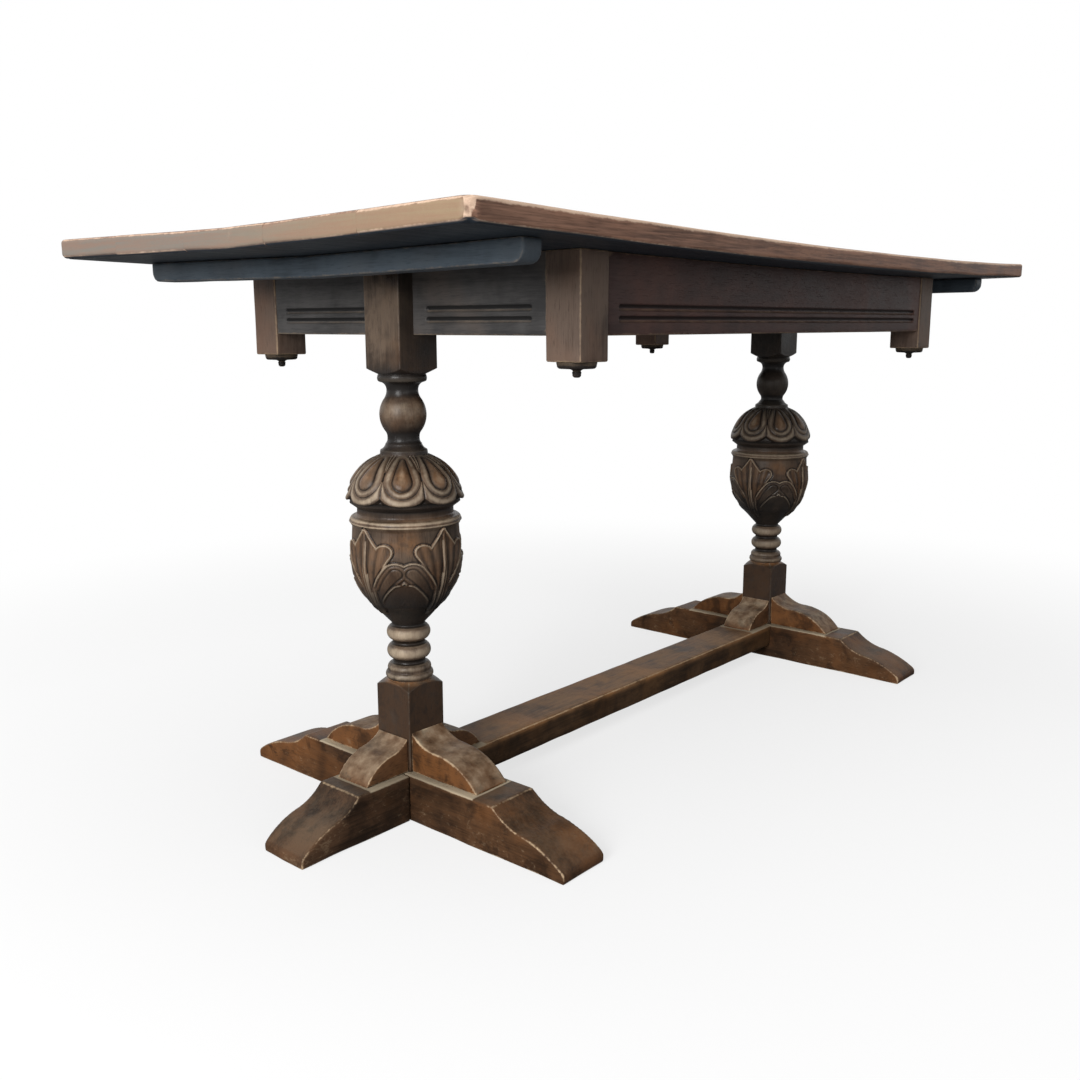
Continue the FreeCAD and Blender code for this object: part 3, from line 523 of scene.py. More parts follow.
# Half widths of the square blocks, the radius of their arrises and how far those stand past it.
LOWER_HALF = 31.75
UPPER_HALF = 32.5
BLOCK_ARRIS = 2.2
ARRIS_FLARE = 0.12
# Heights on the column, and the radius at which the cover ends.
LOWER_BLOCK_TOP = 186.0
CUP_FOOT = 262.0
CUP_TOP = 398.5
RIM_TOP = 411.0
WAIST_TOP = 418.0
COVER_LIP = 426.0
COVER_TOP = 486.0
NECK_TOP = 588.0
UPPER_BLOCK_BOTTOM = 589.0
COVER_TOP_RADIUS = 32.0
# Grid of the column: points around, steps up the turning and the blocks, and what is long as a block.
AROUND = 400
TURN_STEP = 1.25
BLOCK_STEP = 6.0
LONG_CHORD = 60.0
# Rings of the slim turnings are rubbed pale, partly a painted highlight, where they stand out from their own
# blur over some rows, and darkened, partly painted shade, in the grooves between.
SLIM_RADIUS = 34.0
RING_BLUR = 7
RING_DEPTH = 2.9
RING_MARK = 1.2
# Cup's rim: a rubbed lip and above it a painted highlight on the torus, as cavity mark, height and width of
# each, and the mark between them.
RIM_LIP_AND_HIGHLIGHT = ((1.1, 400.3, 1.2), (0.95, 405.2, 1.7))
RIM_MARK = 0.05
RIM_WARMTH = 0.2
BLOCK_WARMTH = 0.9
# Wear of the blocks: how far back it starts at their arrises and shoulders, and its slope at a shoulder.
LOWER_WEAR_GAPS = (1.1, 1.8)
UPPER_WEAR_GAPS = (2.4, 3.0)
SHOULDER_SLOPE = 0.8
# Stands for a distance that is out of reach.
FAR_OFF = 99.0

# Carved cover: eight lobes, each a boss in two bands; a place down the cover and a radius for each end.
LOBES = 8
LOBE_LENGTH = 80.5
LOBE_END_RADIUS = 42.0
BAND_TOP = (2.0, 8.0)
BAND_END = (43.5, 24.5)
BOSS_TOP = (9.0, 3.5)
BOSS_END = (46.0, 13.0)
# Its grooves and rises in millimetres, then the cavity marks of the same.
LOBE_GROOVE = -2.6
GAP_SLOPE = 1.6
GAP_DEPTH = 3.0
OUTER_RISE = 2.9
BAND_GROOVE = -2.2
INNER_RISE = 2.6
BOSS_RISE = 4.0
BOSS_SHOULDER = 10.0
GROOVE_MARK = -0.9
OUTER_MARK = 1.6
INNER_MARK = 1.5
MARK_POWER = 1.5
BOSS_MARK = 1.35
BOSS_WARMTH = 0.55

# Carved cup: four leaves. Each half of a leaf has three lobes in one rim (its body, tip and first lobe), a
# second lobe laid over them and a bare arch. A lobe has degrees from the midrib and height of its foot and
# of its end, then the radius at both.
LEAVES = 4
LEAF_LOBES = [
    (2.0, 288.0, 4.0, 352.0, 7.0, 20.0),
    (3.0, 364.0, 0.5, 394.5, 21.0, 3.0),
    (8.0, 328.0, 23.5, 368.0, 11.0, 12.5),
]
OVER_LOBE = (13.0, 303.0, 36.5, 341.5, 13.0, 17.0)
OVER_FADE = (0.05, 0.4)
ARCH_LOBE = (25.0, 296.0, 42.0, 315.0, 12.0, 13.5)
ARCH_FADE = (292.0, 306.0)
ARCH_GOUGE = -0.4
ARCH_PARTING = 0.07
LEAF_BEND = 0.004
# Gouge marks fan out from a point below each leaf, or follow the rim of the lobe laid over it: height of
# the point, degrees between two marks of the fan, millimetres between two marks along the rim.
FAN_FOOT = 276.0
FAN_PITCH = 7.5
NEST_PITCH = 5.6
NEST_START = 1.0
NEST_FADE = (9.5, 13.0)
NEST_SHARE = 1.4
GOUGE_START = (2.2, 4.0)
GOUGE_DEPTH = 0.7
GOUGE_MARK = 0.2
# The ground sinks around the leaves, between these heights, and is warm in a patch between two leaves.
GROUND_DEPTH = (2.0, (268.0, 292.0), (394.5, 398.0))
LEAF_START = (268.0, 284.0)
GROUND_EDGE = -0.5
GROUND_MARK = -0.32
GLOW_WIDTH = 0.34
GLOW_HEIGHT = 380.0
GLOW_SPREAD = 15.0
GLOW_MARK = 0.24
GLOW_WARMTH = 0.5
LEAF_WARMTH = 0.3
# Rim of a lobe: a groove outside it, a raised pale crest, and the fall behind it, to the ground in the arch.
RIM_GROOVE = (0.2, 2.6)
RIM_GROOVE_DEPTH = 1.0
RIM_GROOVE_MARK = 0.7
RIM_RISE = 2.9
LOBE_FALL = 1.5
FALL_START = (1.4, 3.4)
CREST = (1.0, (0.0, 0.7), (1.9, 3.4))
CREST_MARK = 0.95
LOBE_MARK = 0.24
# Midrib: heights, fades at its ends, half width and taper, its rise with a vein along it, and the groove
# beside it.
MIDRIB_FOOT = 280.0
MIDRIB_TIP = 393.0
MIDRIB_FADES = (6.0, 4.0)
MIDRIB_HALF = 5.2
MIDRIB_TAPER = 3.2
MIDRIB_RISE = 3.4
MIDRIB_ROUND = 1.4
MIDRIB_MARK = 0.75
VEIN_DEPTH = 1.5
VEIN_WIDTH = 0.9
VEIN_MARK = 1.2
BESIDE_GAP = 0.8
BESIDE_DEPTH = 1.2
BESIDE_MARK = 0.6


def traced(corners, step, coarse):
    """Points along an outline of corners joined by arcs: radius and height."""
    radii = []
    heights = []
    for (r0, z0, swell), (r1, z1, _) in zip(corners, corners[1:]):
        chord = math.hypot(r1 - r0, z1 - z0)
        spacing = coarse if chord > LONG_CHORD and r0 == r1 else step
        count = max(1, math.ceil(chord * (1 + 3 * swell * swell) / spacing))
        share = np.arange(count) / count
        rise = np.zeros(count)
        if swell:
            half = 2 * math.atan(2 * swell)
            turn = half * (2 * share - 1)
            share = (np.sin(turn) + math.sin(half)) / (2 * math.sin(half))
            rise = (np.cos(turn) - math.cos(half)) / (2 * math.sin(half))
        radii += (r0 + (r1 - r0) * share + (z1 - z0) * rise).tolist()
        heights += (z0 + (z1 - z0) * share - (r1 - r0) * rise).tolist()
    radii.append(corners[-1][0])
    heights.append(corners[-1][1])
    return np.array(radii), np.array(heights)


def tapered(across, down, top, end):
    """Distance from the outline of a tapered lobe, negative inside. top and end are (place down, radius)."""
    length = end[0] - top[0]
    lean = (end[1] - top[1]) / length
    side = math.sqrt(1 - lean * lean)
    up = end[0] - down
    along = -lean * across + side * up
    near_end = np.hypot(across, up) - end[1]
    near_top = np.hypot(across, up - length) - top[1]
    near_side = side * across + lean * up - end[1]
    return np.where(along < 0, near_end, np.where(along > side * length, near_top, near_side))


def crowned(share):
    """Height of a rounded band across its width, 0 at both edges and 1 in the middle."""
    return np.sqrt(np.clip(4 * share * (1 - share), 0.0, 1.0))


def cover_carving(angle, down, radius):
    """Height of the carving over the cover, in millimetres, its cavity mark and its warmth mark."""
    pitch = 2 * math.pi / LOBES
    across = folded(angle, pitch) * radius
    centre = LOBE_LENGTH - LOBE_END_RADIUS
    scallop = LOBE_END_RADIUS - np.hypot(across, down - centre)
    edge = pitch / 2 * radius - across
    edge = np.where(down > centre, np.minimum(edge, scallop), edge)
    band = -tapered(across, down, BAND_TOP, BAND_END)
    boss = -tapered(across, down, BOSS_TOP, BOSS_END)
    swell = np.clip(boss / BOSS_SHOULDER, 0.0, 1.0)
    inner = crowned(band / np.maximum(band - boss, SLIVER))
    outer = crowned(edge / np.maximum(edge - band, SLIVER))
    gap = LOBE_GROOVE + np.clip(edge * GAP_SLOPE, -GAP_DEPTH, 0.0)
    height = np.where(edge < 0, gap, LOBE_GROOVE + OUTER_RISE * outer)
    cavity = np.where(edge < 0, GROOVE_MARK, GROOVE_MARK + OUTER_MARK * outer ** MARK_POWER)
    height = np.where(band > 0, BAND_GROOVE + INNER_RISE * inner, height)
    cavity = np.where(band > 0, GROOVE_MARK + INNER_MARK * inner ** MARK_POWER, cavity)
    height = np.where(boss > 0, BAND_GROOVE + BOSS_RISE * np.sqrt(1 - (1 - swell) ** 2), height)
    cavity = np.where(boss > 0, GROOVE_MARK + BOSS_MARK * np.sqrt(swell), cavity)
    return height, cavity, np.where(boss > 0, BOSS_WARMTH * swell, 0.0)


def lobe(across, up, place, shape):
    """Depth inside a lobe of a leaf, and share of the way along it."""
    foot_turn, foot_z, end_turn, end_z, foot_radius, end_radius = shape
    foot_y, foot_reach = place(foot_z)
    end_y, end_reach = place(end_z)
    foot_x = math.radians(foot_turn) * foot_reach
    end_x = math.radians(end_turn) * end_reach
    length = math.hypot(end_x - foot_x, end_y - foot_y)
    way_x = (end_x - foot_x) / length
    way_y = (end_y - foot_y) / length
    along = (across - foot_x) * way_x + (up - foot_y) * way_y
    aside = (across - foot_x) * way_y - (up - foot_y) * way_x
    aside = aside + LEAF_BEND * (length * length / 4 - (along - length / 2) ** 2)
    depth = -tapered(np.abs(aside), along, (0.0, foot_radius), (length, end_radius))
    return depth, along / length


def leaf_carving(angle, up, radius, place):
    """Height of the leaves on the cup, in millimetres, their cavity mark and their warmth mark.

    place gives the length along the outline, and the radius, at a height.
    """
    pitch = 2 * math.pi / LEAVES
    turn = folded(angle, pitch)
    across = turn * radius
    fan = np.arctan2(across, np.maximum(up - place(FAN_FOOT)[0], 1.0))
    gouge = np.cos(fan * (360 / FAN_PITCH))
    depth = np.full_like(across, -FAR_OFF)
    for shape in LEAF_LOBES:
        depth = np.maximum(depth, lobe(across, up, place, shape)[0])
    height = np.zeros_like(across)
    between = turn - pitch / 2
    glow = np.exp(-(between / GLOW_WIDTH) ** 2 - ((up - place(GLOW_HEIGHT)[0]) / GLOW_SPREAD) ** 2)
    cavity = GLOW_MARK * glow + GROUND_MARK
    ground = depth < GROUND_EDGE
    over, along = lobe(across, up, place, OVER_LOBE)
    nested = np.cos((over - NEST_START) * (2 * math.pi / NEST_PITCH)) * (1 - smooth(over, *NEST_FADE))
    arch, _ = lobe(across, up, place, ARCH_LOBE)
    arched = smooth(up, *(place(level)[0] for level in ARCH_FADE))
    parted = 1 - np.exp(-(between / ARCH_PARTING) ** 2)
    layers = (
        (depth, gouge, 1.0, LOBE_FALL, 1.0),
        (over, NEST_SHARE * nested, smooth(along, *OVER_FADE), LOBE_FALL, 1.0),
        (arch, np.full_like(arch, ARCH_GOUGE), arched, RIM_RISE, parted),
    )
    for inside, pattern, strength, fall, edge in layers:
        shadow = (1 - smooth(-inside, *RIM_GROOVE)) * (inside <= 0) * strength * edge
        height = height - RIM_GROOVE_DEPTH * shadow
        cavity = cavity - RIM_GROOVE_MARK * shadow
        gouged = smooth(inside, *GOUGE_START)
        raised = RIM_RISE * smooth(inside, 0.0, 1.0) - fall * smooth(inside, *FALL_START)
        rim = raised * edge + GOUGE_DEPTH * pattern * gouged
        crest = window(inside, *CREST) * edge
        mark = CREST_MARK * crest - LOBE_MARK * (1 - crest) + GOUGE_MARK * pattern * gouged
        share = strength * (inside > 0)
        height = height * (1 - share) + rim * share
        cavity = cavity * (1 - share) + mark * share
    foot = place(MIDRIB_FOOT)[0]
    tip = place(MIDRIB_TIP)[0]
    share = np.clip((up - foot) / (tip - foot), 0.0, 1.0)
    half = MIDRIB_HALF - MIDRIB_TAPER * share
    before, after = MIDRIB_FADES
    stem = window(up, 1.0, (foot - before, foot + after), (tip - after, tip))
    vein = np.exp(-(across / VEIN_WIDTH) ** 2)
    rib = (MIDRIB_RISE * smooth(half - across, 0.0, MIDRIB_ROUND) - VEIN_DEPTH * vein) * stem
    beside = np.exp(-((across - half - BESIDE_GAP) / VEIN_WIDTH) ** 2) * stem
    on_rib = (across < half) & (stem > 0.5)
    height = np.where(on_rib, rib, height - BESIDE_DEPTH * beside)
    cavity = np.where(on_rib, MIDRIB_MARK - VEIN_MARK * vein, cavity - BESIDE_MARK * beside)
    return height, cavity, np.where(ground, GLOW_WARMTH * glow, LEAF_WARMTH)


def softened(field, rows, columns):
    """A field blurred by that many rows and columns of its grid."""
    row_waves = np.fft.fftfreq(field.shape[0])[:, None]
    column_waves = np.fft.rfftfreq(field.shape[1])[None, :]
    damping = np.exp(-2 * math.pi ** 2 * ((rows * row_waves) ** 2 + (columns * column_waves) ** 2))
    return np.fft.irfft2(np.fft.rfft2(field) * damping, field.shape)


def square_reach(angle, half):
    """Radius of a square block with rounded arrises at an angle."""
    flat = half / np.cos(folded(angle, math.pi / 2))
    limit = (half - BLOCK_ARRIS) * math.sqrt(2) + BLOCK_ARRIS
    return np.minimum(flat, limit + ARRIS_FLARE * (flat - limit))


def ring_faces(rows, columns):
    """Quads of a closed tube of rows, and a cap at each end."""
    faces = []
    for row in range(rows - 1):
        start = row * columns
        above = start + columns
        for column in range(columns):
            following = (column + 1) % columns
            faces.append((start + column, start + following, above + following, above + column))
    faces.append(tuple(range(columns - 1, -1, -1)))
    faces.append(tuple(range((rows - 1) * columns, rows * columns)))
    return faces


def column(end, finish):
    """A column with its blocks, turnings and carving."""
    node = "column_" + end
    low, high = corners_of(node)
    centre = (low + high) / 2
    corners = TURNING[:-1] + [(TURNING[-1][0], high[Z] / MM, 0.0)]
    radii, heights = traced(corners, TURN_STEP, BLOCK_STEP)
    if end == "far":
        radii = radii * (1 + window(heights, *FAR_GIRTH))
        heights = heights + window(heights, *FAR_COVER_RISE)
    travel = np.concatenate([[0], np.cumsum(np.hypot(np.diff(radii), np.diff(heights)))])
    slope_r = np.gradient(radii, travel)
    slope_z = np.gradient(heights, travel)
    angle = np.arange(AROUND) * (2 * math.pi / AROUND)
    turn, row_r = np.meshgrid(angle, radii)
    _, row_z = np.meshgrid(angle, heights)
    _, row_s = np.meshgrid(angle, travel)
    cup_rows = (heights >= CUP_FOOT) & (heights <= CUP_TOP)
    cup_start = travel[cup_rows][0]
    rows_above_lip = np.nonzero(radii[heights > COVER_LIP] <= COVER_TOP_RADIUS)[0][0]
    cover_end = travel[rows_above_lip + np.sum(heights <= COVER_LIP)]

    def place(height):
        """Length from the cup's foot, and radius, at a height of the cup."""
        length = np.interp(height, heights[cup_rows], travel[cup_rows]) - cup_start
        return length, np.interp(height, heights[cup_rows], radii[cup_rows])

    cup = (row_z >= CUP_FOOT) & (row_z <= CUP_TOP)
    cover = (row_z >= COVER_LIP) & (row_s <= cover_end)
    leaves, leaf_marks, leaf_warmth = leaf_carving(turn, row_s - cup_start, row_r, place)
    lobes, lobe_marks, boss_warmth = cover_carving(turn, cover_end - row_s, row_r)
    leaves = leaves * smooth(row_z, *LEAF_START) - window(row_z, *GROUND_DEPTH)
    carve = np.where(cup, leaves, np.where(cover, lobes, 0.0))
    reach = row_r + carve * slope_z[:, None]
    height = row_z - carve * slope_r[:, None]
    lower = square_reach(turn, LOWER_HALF)
    upper = square_reach(turn, UPPER_HALF)
    in_lower = row_z < LOWER_BLOCK_TOP
    in_upper = row_z > UPPER_BLOCK_BOTTOM
    reach = np.where(in_lower, np.minimum(reach, lower), reach)
    reach = np.where(in_upper, np.minimum(reach, upper), reach)

    slim = np.clip(radii, 0, SLIM_RADIUS)
    blurred = softened(slim[:, None] * np.ones((1, 4)), RING_BLUR, 0)[:, 0]
    # Rubbed rings with painted highlights, and grooves with dirt and painted shade.
    turned = np.clip((slim - blurred) / RING_DEPTH, -1, RING_MARK)
    carved = (heights > CUP_FOOT) & (heights < COVER_TOP)
    turned[(heights < LOWER_BLOCK_TOP) | carved | (heights > NECK_TOP)] = 0
    cavity = np.where(cup, leaf_marks, np.where(cover, lobe_marks, turned[:, None]))
    # A rubbed lip and a painted highlight on the rim.
    lip_and_highlight = sum(mark * np.exp(-((row_z - level) / width) ** 2) for mark, level, width in RIM_LIP_AND_HIGHLIGHT) + RIM_MARK
    cavity = np.where((row_z > CUP_TOP) & (row_z < RIM_TOP) & ~cover, lip_and_highlight, cavity)
    warmth = np.where(cup, leaf_warmth, np.where(cover, boss_warmth, 0.0))
    warmth = np.where((row_z > CUP_TOP) & (row_z < WAIST_TOP), RIM_WARMTH, warmth)
    warmth = np.where(in_lower, BLOCK_WARMTH, warmth)
    # Old stain and painted shade, by height.
    stain_and_shade = np.interp(row_z, *zip(*STAIN_AND_SHADE_SHARES))
    # Painted shade on two sides of the upper block.
    sideways = smooth(np.abs(np.sin(turn)), *SIDE_FACINGS) * smooth(row_z, *SIDE_SHADE_START)
    stain_and_shade = np.maximum(stain_and_shade, SIDE_SHADE_SHARE * sideways)
    # Painted shade over the far column, most from its neck up.
    if end == "far":
        stain_and_shade = np.maximum(stain_and_shade, FAR_SHADE_SHARE + FAR_NECK_SHADE_SHARE * smooth(row_z, *FAR_NECK_START))
    to_arris = np.abs(turn % (math.pi / 2) - math.pi / 4) * reach
    to_shoulder = np.abs(row_r - np.where(in_lower, lower, upper)) * SHOULDER_SLOPE
    off_edge = np.full_like(reach, FAR_OFF)
    for inside, (arris_gap, shoulder_gap) in ((in_upper, UPPER_WEAR_GAPS), (in_lower, LOWER_WEAR_GAPS)):
        off_edge = np.where(inside, np.minimum(to_arris + arris_gap, to_shoulder + shoulder_gap), off_edge)
    points = np.stack([reach * np.cos(turn), reach * np.sin(turn), height], -1).reshape(-1, 3) * MM
    points[:, :2] += centre[:2]
    points = follow_top(points, COLUMN_FOLLOWS)
    marks = {"wear": nearness(off_edge.ravel() * MM), "cavity": cavity.ravel(), "stain_and_shade": stain_and_shade.ravel(),
             "warmth": warmth.ravel()}
    piece("turned_" + node, points, ring_faces(len(radii), AROUND), finish, "oak_column", node, **marks)


# Pendants under the corner posts: a stepped button and a drop, as radius, height and swell in millimetres

PENDANT = [
    (23.2, 0.0, -0.05),
    (22.6, -3.6, -0.16),
    (20.0, -7.4, 0.0),
    (11.0, -7.9, 0.12),
    (4.4, -10.2, -0.2),
    (4.9, -13.6, -0.3),
    (0.6, -17.5, 0.0),
]
PENDANT_STEP = 0.8
PENDANT_AROUND = 72
PENDANT_BLUR = 3
PENDANT_WORN = 4


def pendant(end, side, finish):
    """A turned pendant; its outline hangs from the post's lower face."""
    node = "pendant_" + end + "_" + side
    post_low, _ = corners_of("post_" + end + "_" + side)
    low, high = corners_of(node)
    centre = (low + high) / 2
    radii, drops = traced(PENDANT, PENDANT_STEP, PENDANT_STEP)
    drops = drops * ((post_low[Z] - low[Z]) / MM / -drops.min())
    angle = np.arange(PENDANT_AROUND) * (-2 * math.pi / PENDANT_AROUND)
    turn, row_r = np.meshgrid(angle, radii)
    _, row_z = np.meshgrid(angle, drops)
    points = np.stack([row_r * np.cos(turn), row_r * np.sin(turn), row_z], -1).reshape(-1, 3) * MM
    points += np.array([centre[X], centre[Y], post_low[Z]])
    bend = np.abs(row_r - softened(row_r, PENDANT_BLUR, 0))
    off_edge = PENDANT_WORN - np.clip(bend * PENDANT_WORN, 0, PENDANT_WORN)
    near = nearness(off_edge.ravel() * MM)
    faces = ring_faces(len(radii), PENDANT_AROUND)
    piece("turned_" + node, points, faces, finish, "oak_frame", node, wear=near)


# Finishes

# How far the grain of a piece is shifted along each axis for its tone.
GRAIN_SHIFTS = (7.3, 3.1, 5.7)


def tint(red, green, blue):
    """A colour given as on screen, 0 to 255, as linear light."""
    parts = []
    for part in (red, green, blue):
        share = part / 255
        parts.append(share / 12.92 if share <= 0.04045 else ((share + 0.055) / 1.055) ** 2.4)
    return (*parts, 1.0)


class Finish:
    """A material and short ways to add nodes to it."""

    def __init__(self, name):
        self.material = bpy.data.materials.new(name)
        self.material.use_nodes = True
        self.tree = self.material.node_tree
        self.shader = self.tree.nodes["Principled BSDF"]

    def add(self, kind, inputs=None, output=0, **settings):
        """A node with its inputs set or linked; gives one of its outputs."""
        made = self.tree.nodes.new("ShaderNode" + kind)
        for key, value in settings.items():
            setattr(made, key, value)
        for key, value in (inputs or {}).items():
            self.feed(made.inputs[key], value)
        return made.outputs[output]

    def feed(self, socket, value):
        """Links an output to a socket, or sets the socket."""
        if isinstance(value, bpy.types.NodeSocket):
            self.tree.links.new(value, socket)
        else:
            socket.default_value = value

    def maths(self, operation, first, second=0.0, third=0.0, clamp=False):
        """One sum on numbers."""
        return self.add("Math", {0: first, 1: second, 2: third}, operation=operation, use_clamp=clamp)

    def fitted(self, value, low, high, to_low=0.0, to_high=1.0):
        """A number taken from one range to another with soft ends."""
        inputs = {"Value": value, "From Min": low, "From Max": high, "To Min": to_low, "To Max": to_high}
        return self.add("MapRange", inputs, interpolation_type="SMOOTHSTEP")

    def mixed(self, share, first, second):
        """Two colours mixed."""
        return self.add("Mix", {0: share, 6: first, 7: second}, 2, data_type="RGBA")

    def noise(self, place, size, detail=3.0, rough=0.55, warp=0.0):
        """Noise at a place, its cells one unit of the place over size."""
        inputs = {"Vector": place, "Scale": size, "Detail": detail, "Roughness": rough, "Distortion": warp}
        return self.add("TexNoise", inputs)

    def stretched(self, place, scale):
        """A place scaled along its three axes."""
        return self.add("Mapping", {"Vector": place, "Scale": scale})


def oak(name, along, dark, body, warm, worn, dust_and_sheen, rub_and_highlight=1.0, dusty=0.3, gloss=0.42, shine=0.1, scuffs=0.0,
        lively=0.7, blotchy=0.5, mottle=0.0, stain_and_shade_tint=(0.012, 0.009, 0.007, 1.0), ends=None, underside_shade=None):
    """Stained oak whose grain runs along an axis: figure, fibres, pores, rubbed arrises, dirt and dust, with
    painted highlights and painted shade from its marks.

    ends holds two colours of bare end grain, at the front and at the back; underside_shade is a painted
    shade colour for the lower face.
    """
    finish = Finish(name)
    add, maths, fitted = finish.add, finish.maths, finish.fitted
    mixed, noise, stretched = finish.mixed, finish.noise, finish.stretched
    place = add("TexCoord", output=3)
    tone = add("Attribute", {}, 2, attribute_name="tone")
    wear, cavity, ledge, stain_and_shade, warmth = (add("Attribute", {}, 2, attribute_name=key) for key in MARKS)
    shift = add("CombineXYZ", {axis: maths("MULTIPLY", tone, away) for axis, away in enumerate(GRAIN_SHIFTS)})
    here = add("VectorMath", {0: place, 1: shift}, operation="ADD")

    def scaled(lengthwise, crosswise):
        """The place, scaled along the grain and across it."""
        scale = [crosswise] * 3
        scale[along] = lengthwise
        return stretched(here, scale)

    def between(value, low, high):
        """A share taken to a range."""
        return maths("MULTIPLY_ADD", value, high - low, low)

    figure = noise(scaled(3.5, 60.0), 1.0, detail=4.0, rough=0.6, warp=0.7)
    fibre = noise(scaled(22.0, 520.0), 1.0, detail=2.0, rough=0.6)
    pores = noise(scaled(70.0, 900.0), 1.0, detail=1.0, rough=0.5)
    blotch = noise(here, 13.0, rough=0.6, warp=0.4)
    patch = noise(here, 42.0, rough=0.65)
    speck = noise(here, 240.0, detail=2.0, rough=0.6)
    glow = noise(stretched(here, (1.1, 0.9, 1.0)), 8.0, rough=0.6)
    normal = add("NewGeometry", output=1)
    up = add("SeparateXYZ", {0: normal}, Z)

    # The stained wood: streaks and blotches from dark to body, warm patches, dark pores and clouds.
    streak = maths("MULTIPLY_ADD", figure, 0.6, maths("MULTIPLY", fibre, 0.4))
    depth = maths("MULTIPLY_ADD", blotch, blotchy, maths("MULTIPLY", streak, 1 - blotchy))
    depth = maths("ADD", depth, between(tone, -0.03, 0.03))
    colour = mixed(fitted(depth, 0.36, 0.58), dark, body)
    warmed = maths("MULTIPLY", warmth, fitted(patch, 0.3, 0.62, 0.25, 1.0))
    warmed = maths("MAXIMUM", warmed, fitted(glow, 0.46, 0.7, 0.0, lively))
    colour = mixed(warmed, colour, warm)
    colour = mixed(fitted(pores, 0.6, 0.72, 0.0, 0.5), colour, dark)
    if mottle:
        cloud = noise(here, 21.0, detail=5.0, rough=0.7, warp=0.8)
        colour = mixed(fitted(cloud, 0.5, 0.64, 0.0, mottle), colour, dark)

    if ends:
        sideways = add("SeparateXYZ", {0: normal}, X)
        facing = fitted(maths("ABSOLUTE", sideways), 0.7, 0.95)
        rings = noise(stretched(here, (1.0, 7.0, 190.0)), 1.0, rough=0.6, warp=0.3)
        rings = maths("ADD", rings, between(speck, -0.1, 0.1))
        across = add("SeparateXYZ", {0: place}, Y)
        bare = mixed(fitted(across, -0.36, 0.12), *ends)
        bare = mixed(fitted(rings, 0.3, 0.7, 0.5, 0.0), bare, body)
        colour = mixed(maths("MULTIPLY", facing, 0.94), colour, bare)

    # Rubbed arrises and raised carving, painted highlights from the marks, and scuffs low on the feet.
    rubbed_and_highlit = maths("ADD", maths("ADD", wear, between(patch, -0.13, 0.13)), between(speck, -0.07, 0.07))
    rubbed_and_highlit = maths("MULTIPLY", fitted(rubbed_and_highlit, 0.88, 1.0), rub_and_highlight, clamp=True)
    # Raised marks: rubbed carving, and painted highlights.
    raised = fitted(maths("ADD", cavity, between(patch, -0.6, 0.6)), 0.15, 0.95, 0.0, 0.8 * rub_and_highlight)
    rubbed_and_highlit = maths("MAXIMUM", rubbed_and_highlit, raised)
    if scuffs:
        low = add("SeparateXYZ", {0: place}, Z)
        marks = noise(stretched(here, (110.0, 110.0, 190.0)), 1.0, detail=4.0, rough=0.75, warp=0.6)
        marks = fitted(maths("MULTIPLY_ADD", blotch, 0.4, marks), 0.76, 0.96, 0.0, scuffs)
        spread = maths("MULTIPLY", fitted(low, 0.07, 0.03), between(stain_and_shade, 0.35, 1.0))
        marks = maths("MULTIPLY", marks, maths("MULTIPLY", spread, fitted(up, 0.6, 0.2)))
        rubbed_and_highlit = maths("MAXIMUM", rubbed_and_highlit, marks)
    pale = mixed(fitted(streak, 0.35, 0.65), mixed(0.4, worn, body), worn)
    colour = mixed(rubbed_and_highlit, colour, pale)

    # Dust on upward faces and ledges, also a painted sheen on the brackets, dirt and painted shade in the
    # grooves, old stain and painted shade, and painted shade on the lower face.
    settled_dust_and_sheen = fitted(maths("MULTIPLY_ADD", speck, 0.35, blotch), 0.42, 0.9, 0.0, dusty)
    settled_dust_and_sheen = maths("MULTIPLY", fitted(up, 0.6, 0.98), settled_dust_and_sheen)
    # Thick dust on ledges, and on the brackets a painted sheen too.
    heaped_dust_and_sheen = fitted(maths("MULTIPLY", ledge, between(patch, 0.4, 1.5)), 0.35, 0.9, 0.0, 0.92)
    settled_dust_and_sheen = maths("MAXIMUM", settled_dust_and_sheen, maths("MULTIPLY", heaped_dust_and_sheen, fitted(up, 0.4, 0.85)))
    colour = mixed(settled_dust_and_sheen, colour, dust_and_sheen)
    # Dirt in grooves, and painted shade.
    dirt_and_shade = fitted(maths("ADD", cavity, between(patch, -0.12, 0.12)), -0.1, -0.65, 0.0, 0.93)
    colour = mixed(dirt_and_shade, colour, mixed(0.3, (0.0, 0.0, 0.0, 1.0), dark))
    # Old stain and painted shade, in a dark tint.
    stain_and_shade_share = maths("MULTIPLY", stain_and_shade, between(patch, 0.75, 1.25), clamp=True)
    colour = mixed(stain_and_shade_share, colour, stain_and_shade_tint)
    # Painted shade: the lower face takes the dark shade colour.
    if underside_shade:
        colour = mixed(fitted(up, -0.35, -0.8), colour, underside_shade)

    finish.feed(finish.shader.inputs["Base Color"], colour)
    rough = fitted(depth, 0.3, 0.7, gloss - 0.07, gloss + 0.1)
    rough = maths("MULTIPLY_ADD", maths("MAXIMUM", rubbed_and_highlit, settled_dust_and_sheen), 0.22, rough)
    finish.feed(finish.shader.inputs["Roughness"], rough)
    finish.shader.inputs["Specular IOR Level"].default_value = shine
    relief = maths("MULTIPLY_ADD", fibre, 0.5, fitted(pores, 0.6, 0.72, 0.0, -0.6))
    relief = maths("MULTIPLY_ADD", speck, 0.3, relief)
    bump = add("Bump", {"Strength": 0.3, "Distance": 0.0007, "Height": relief})
    finish.feed(finish.shader.inputs["Normal"], bump)
    return finish.material


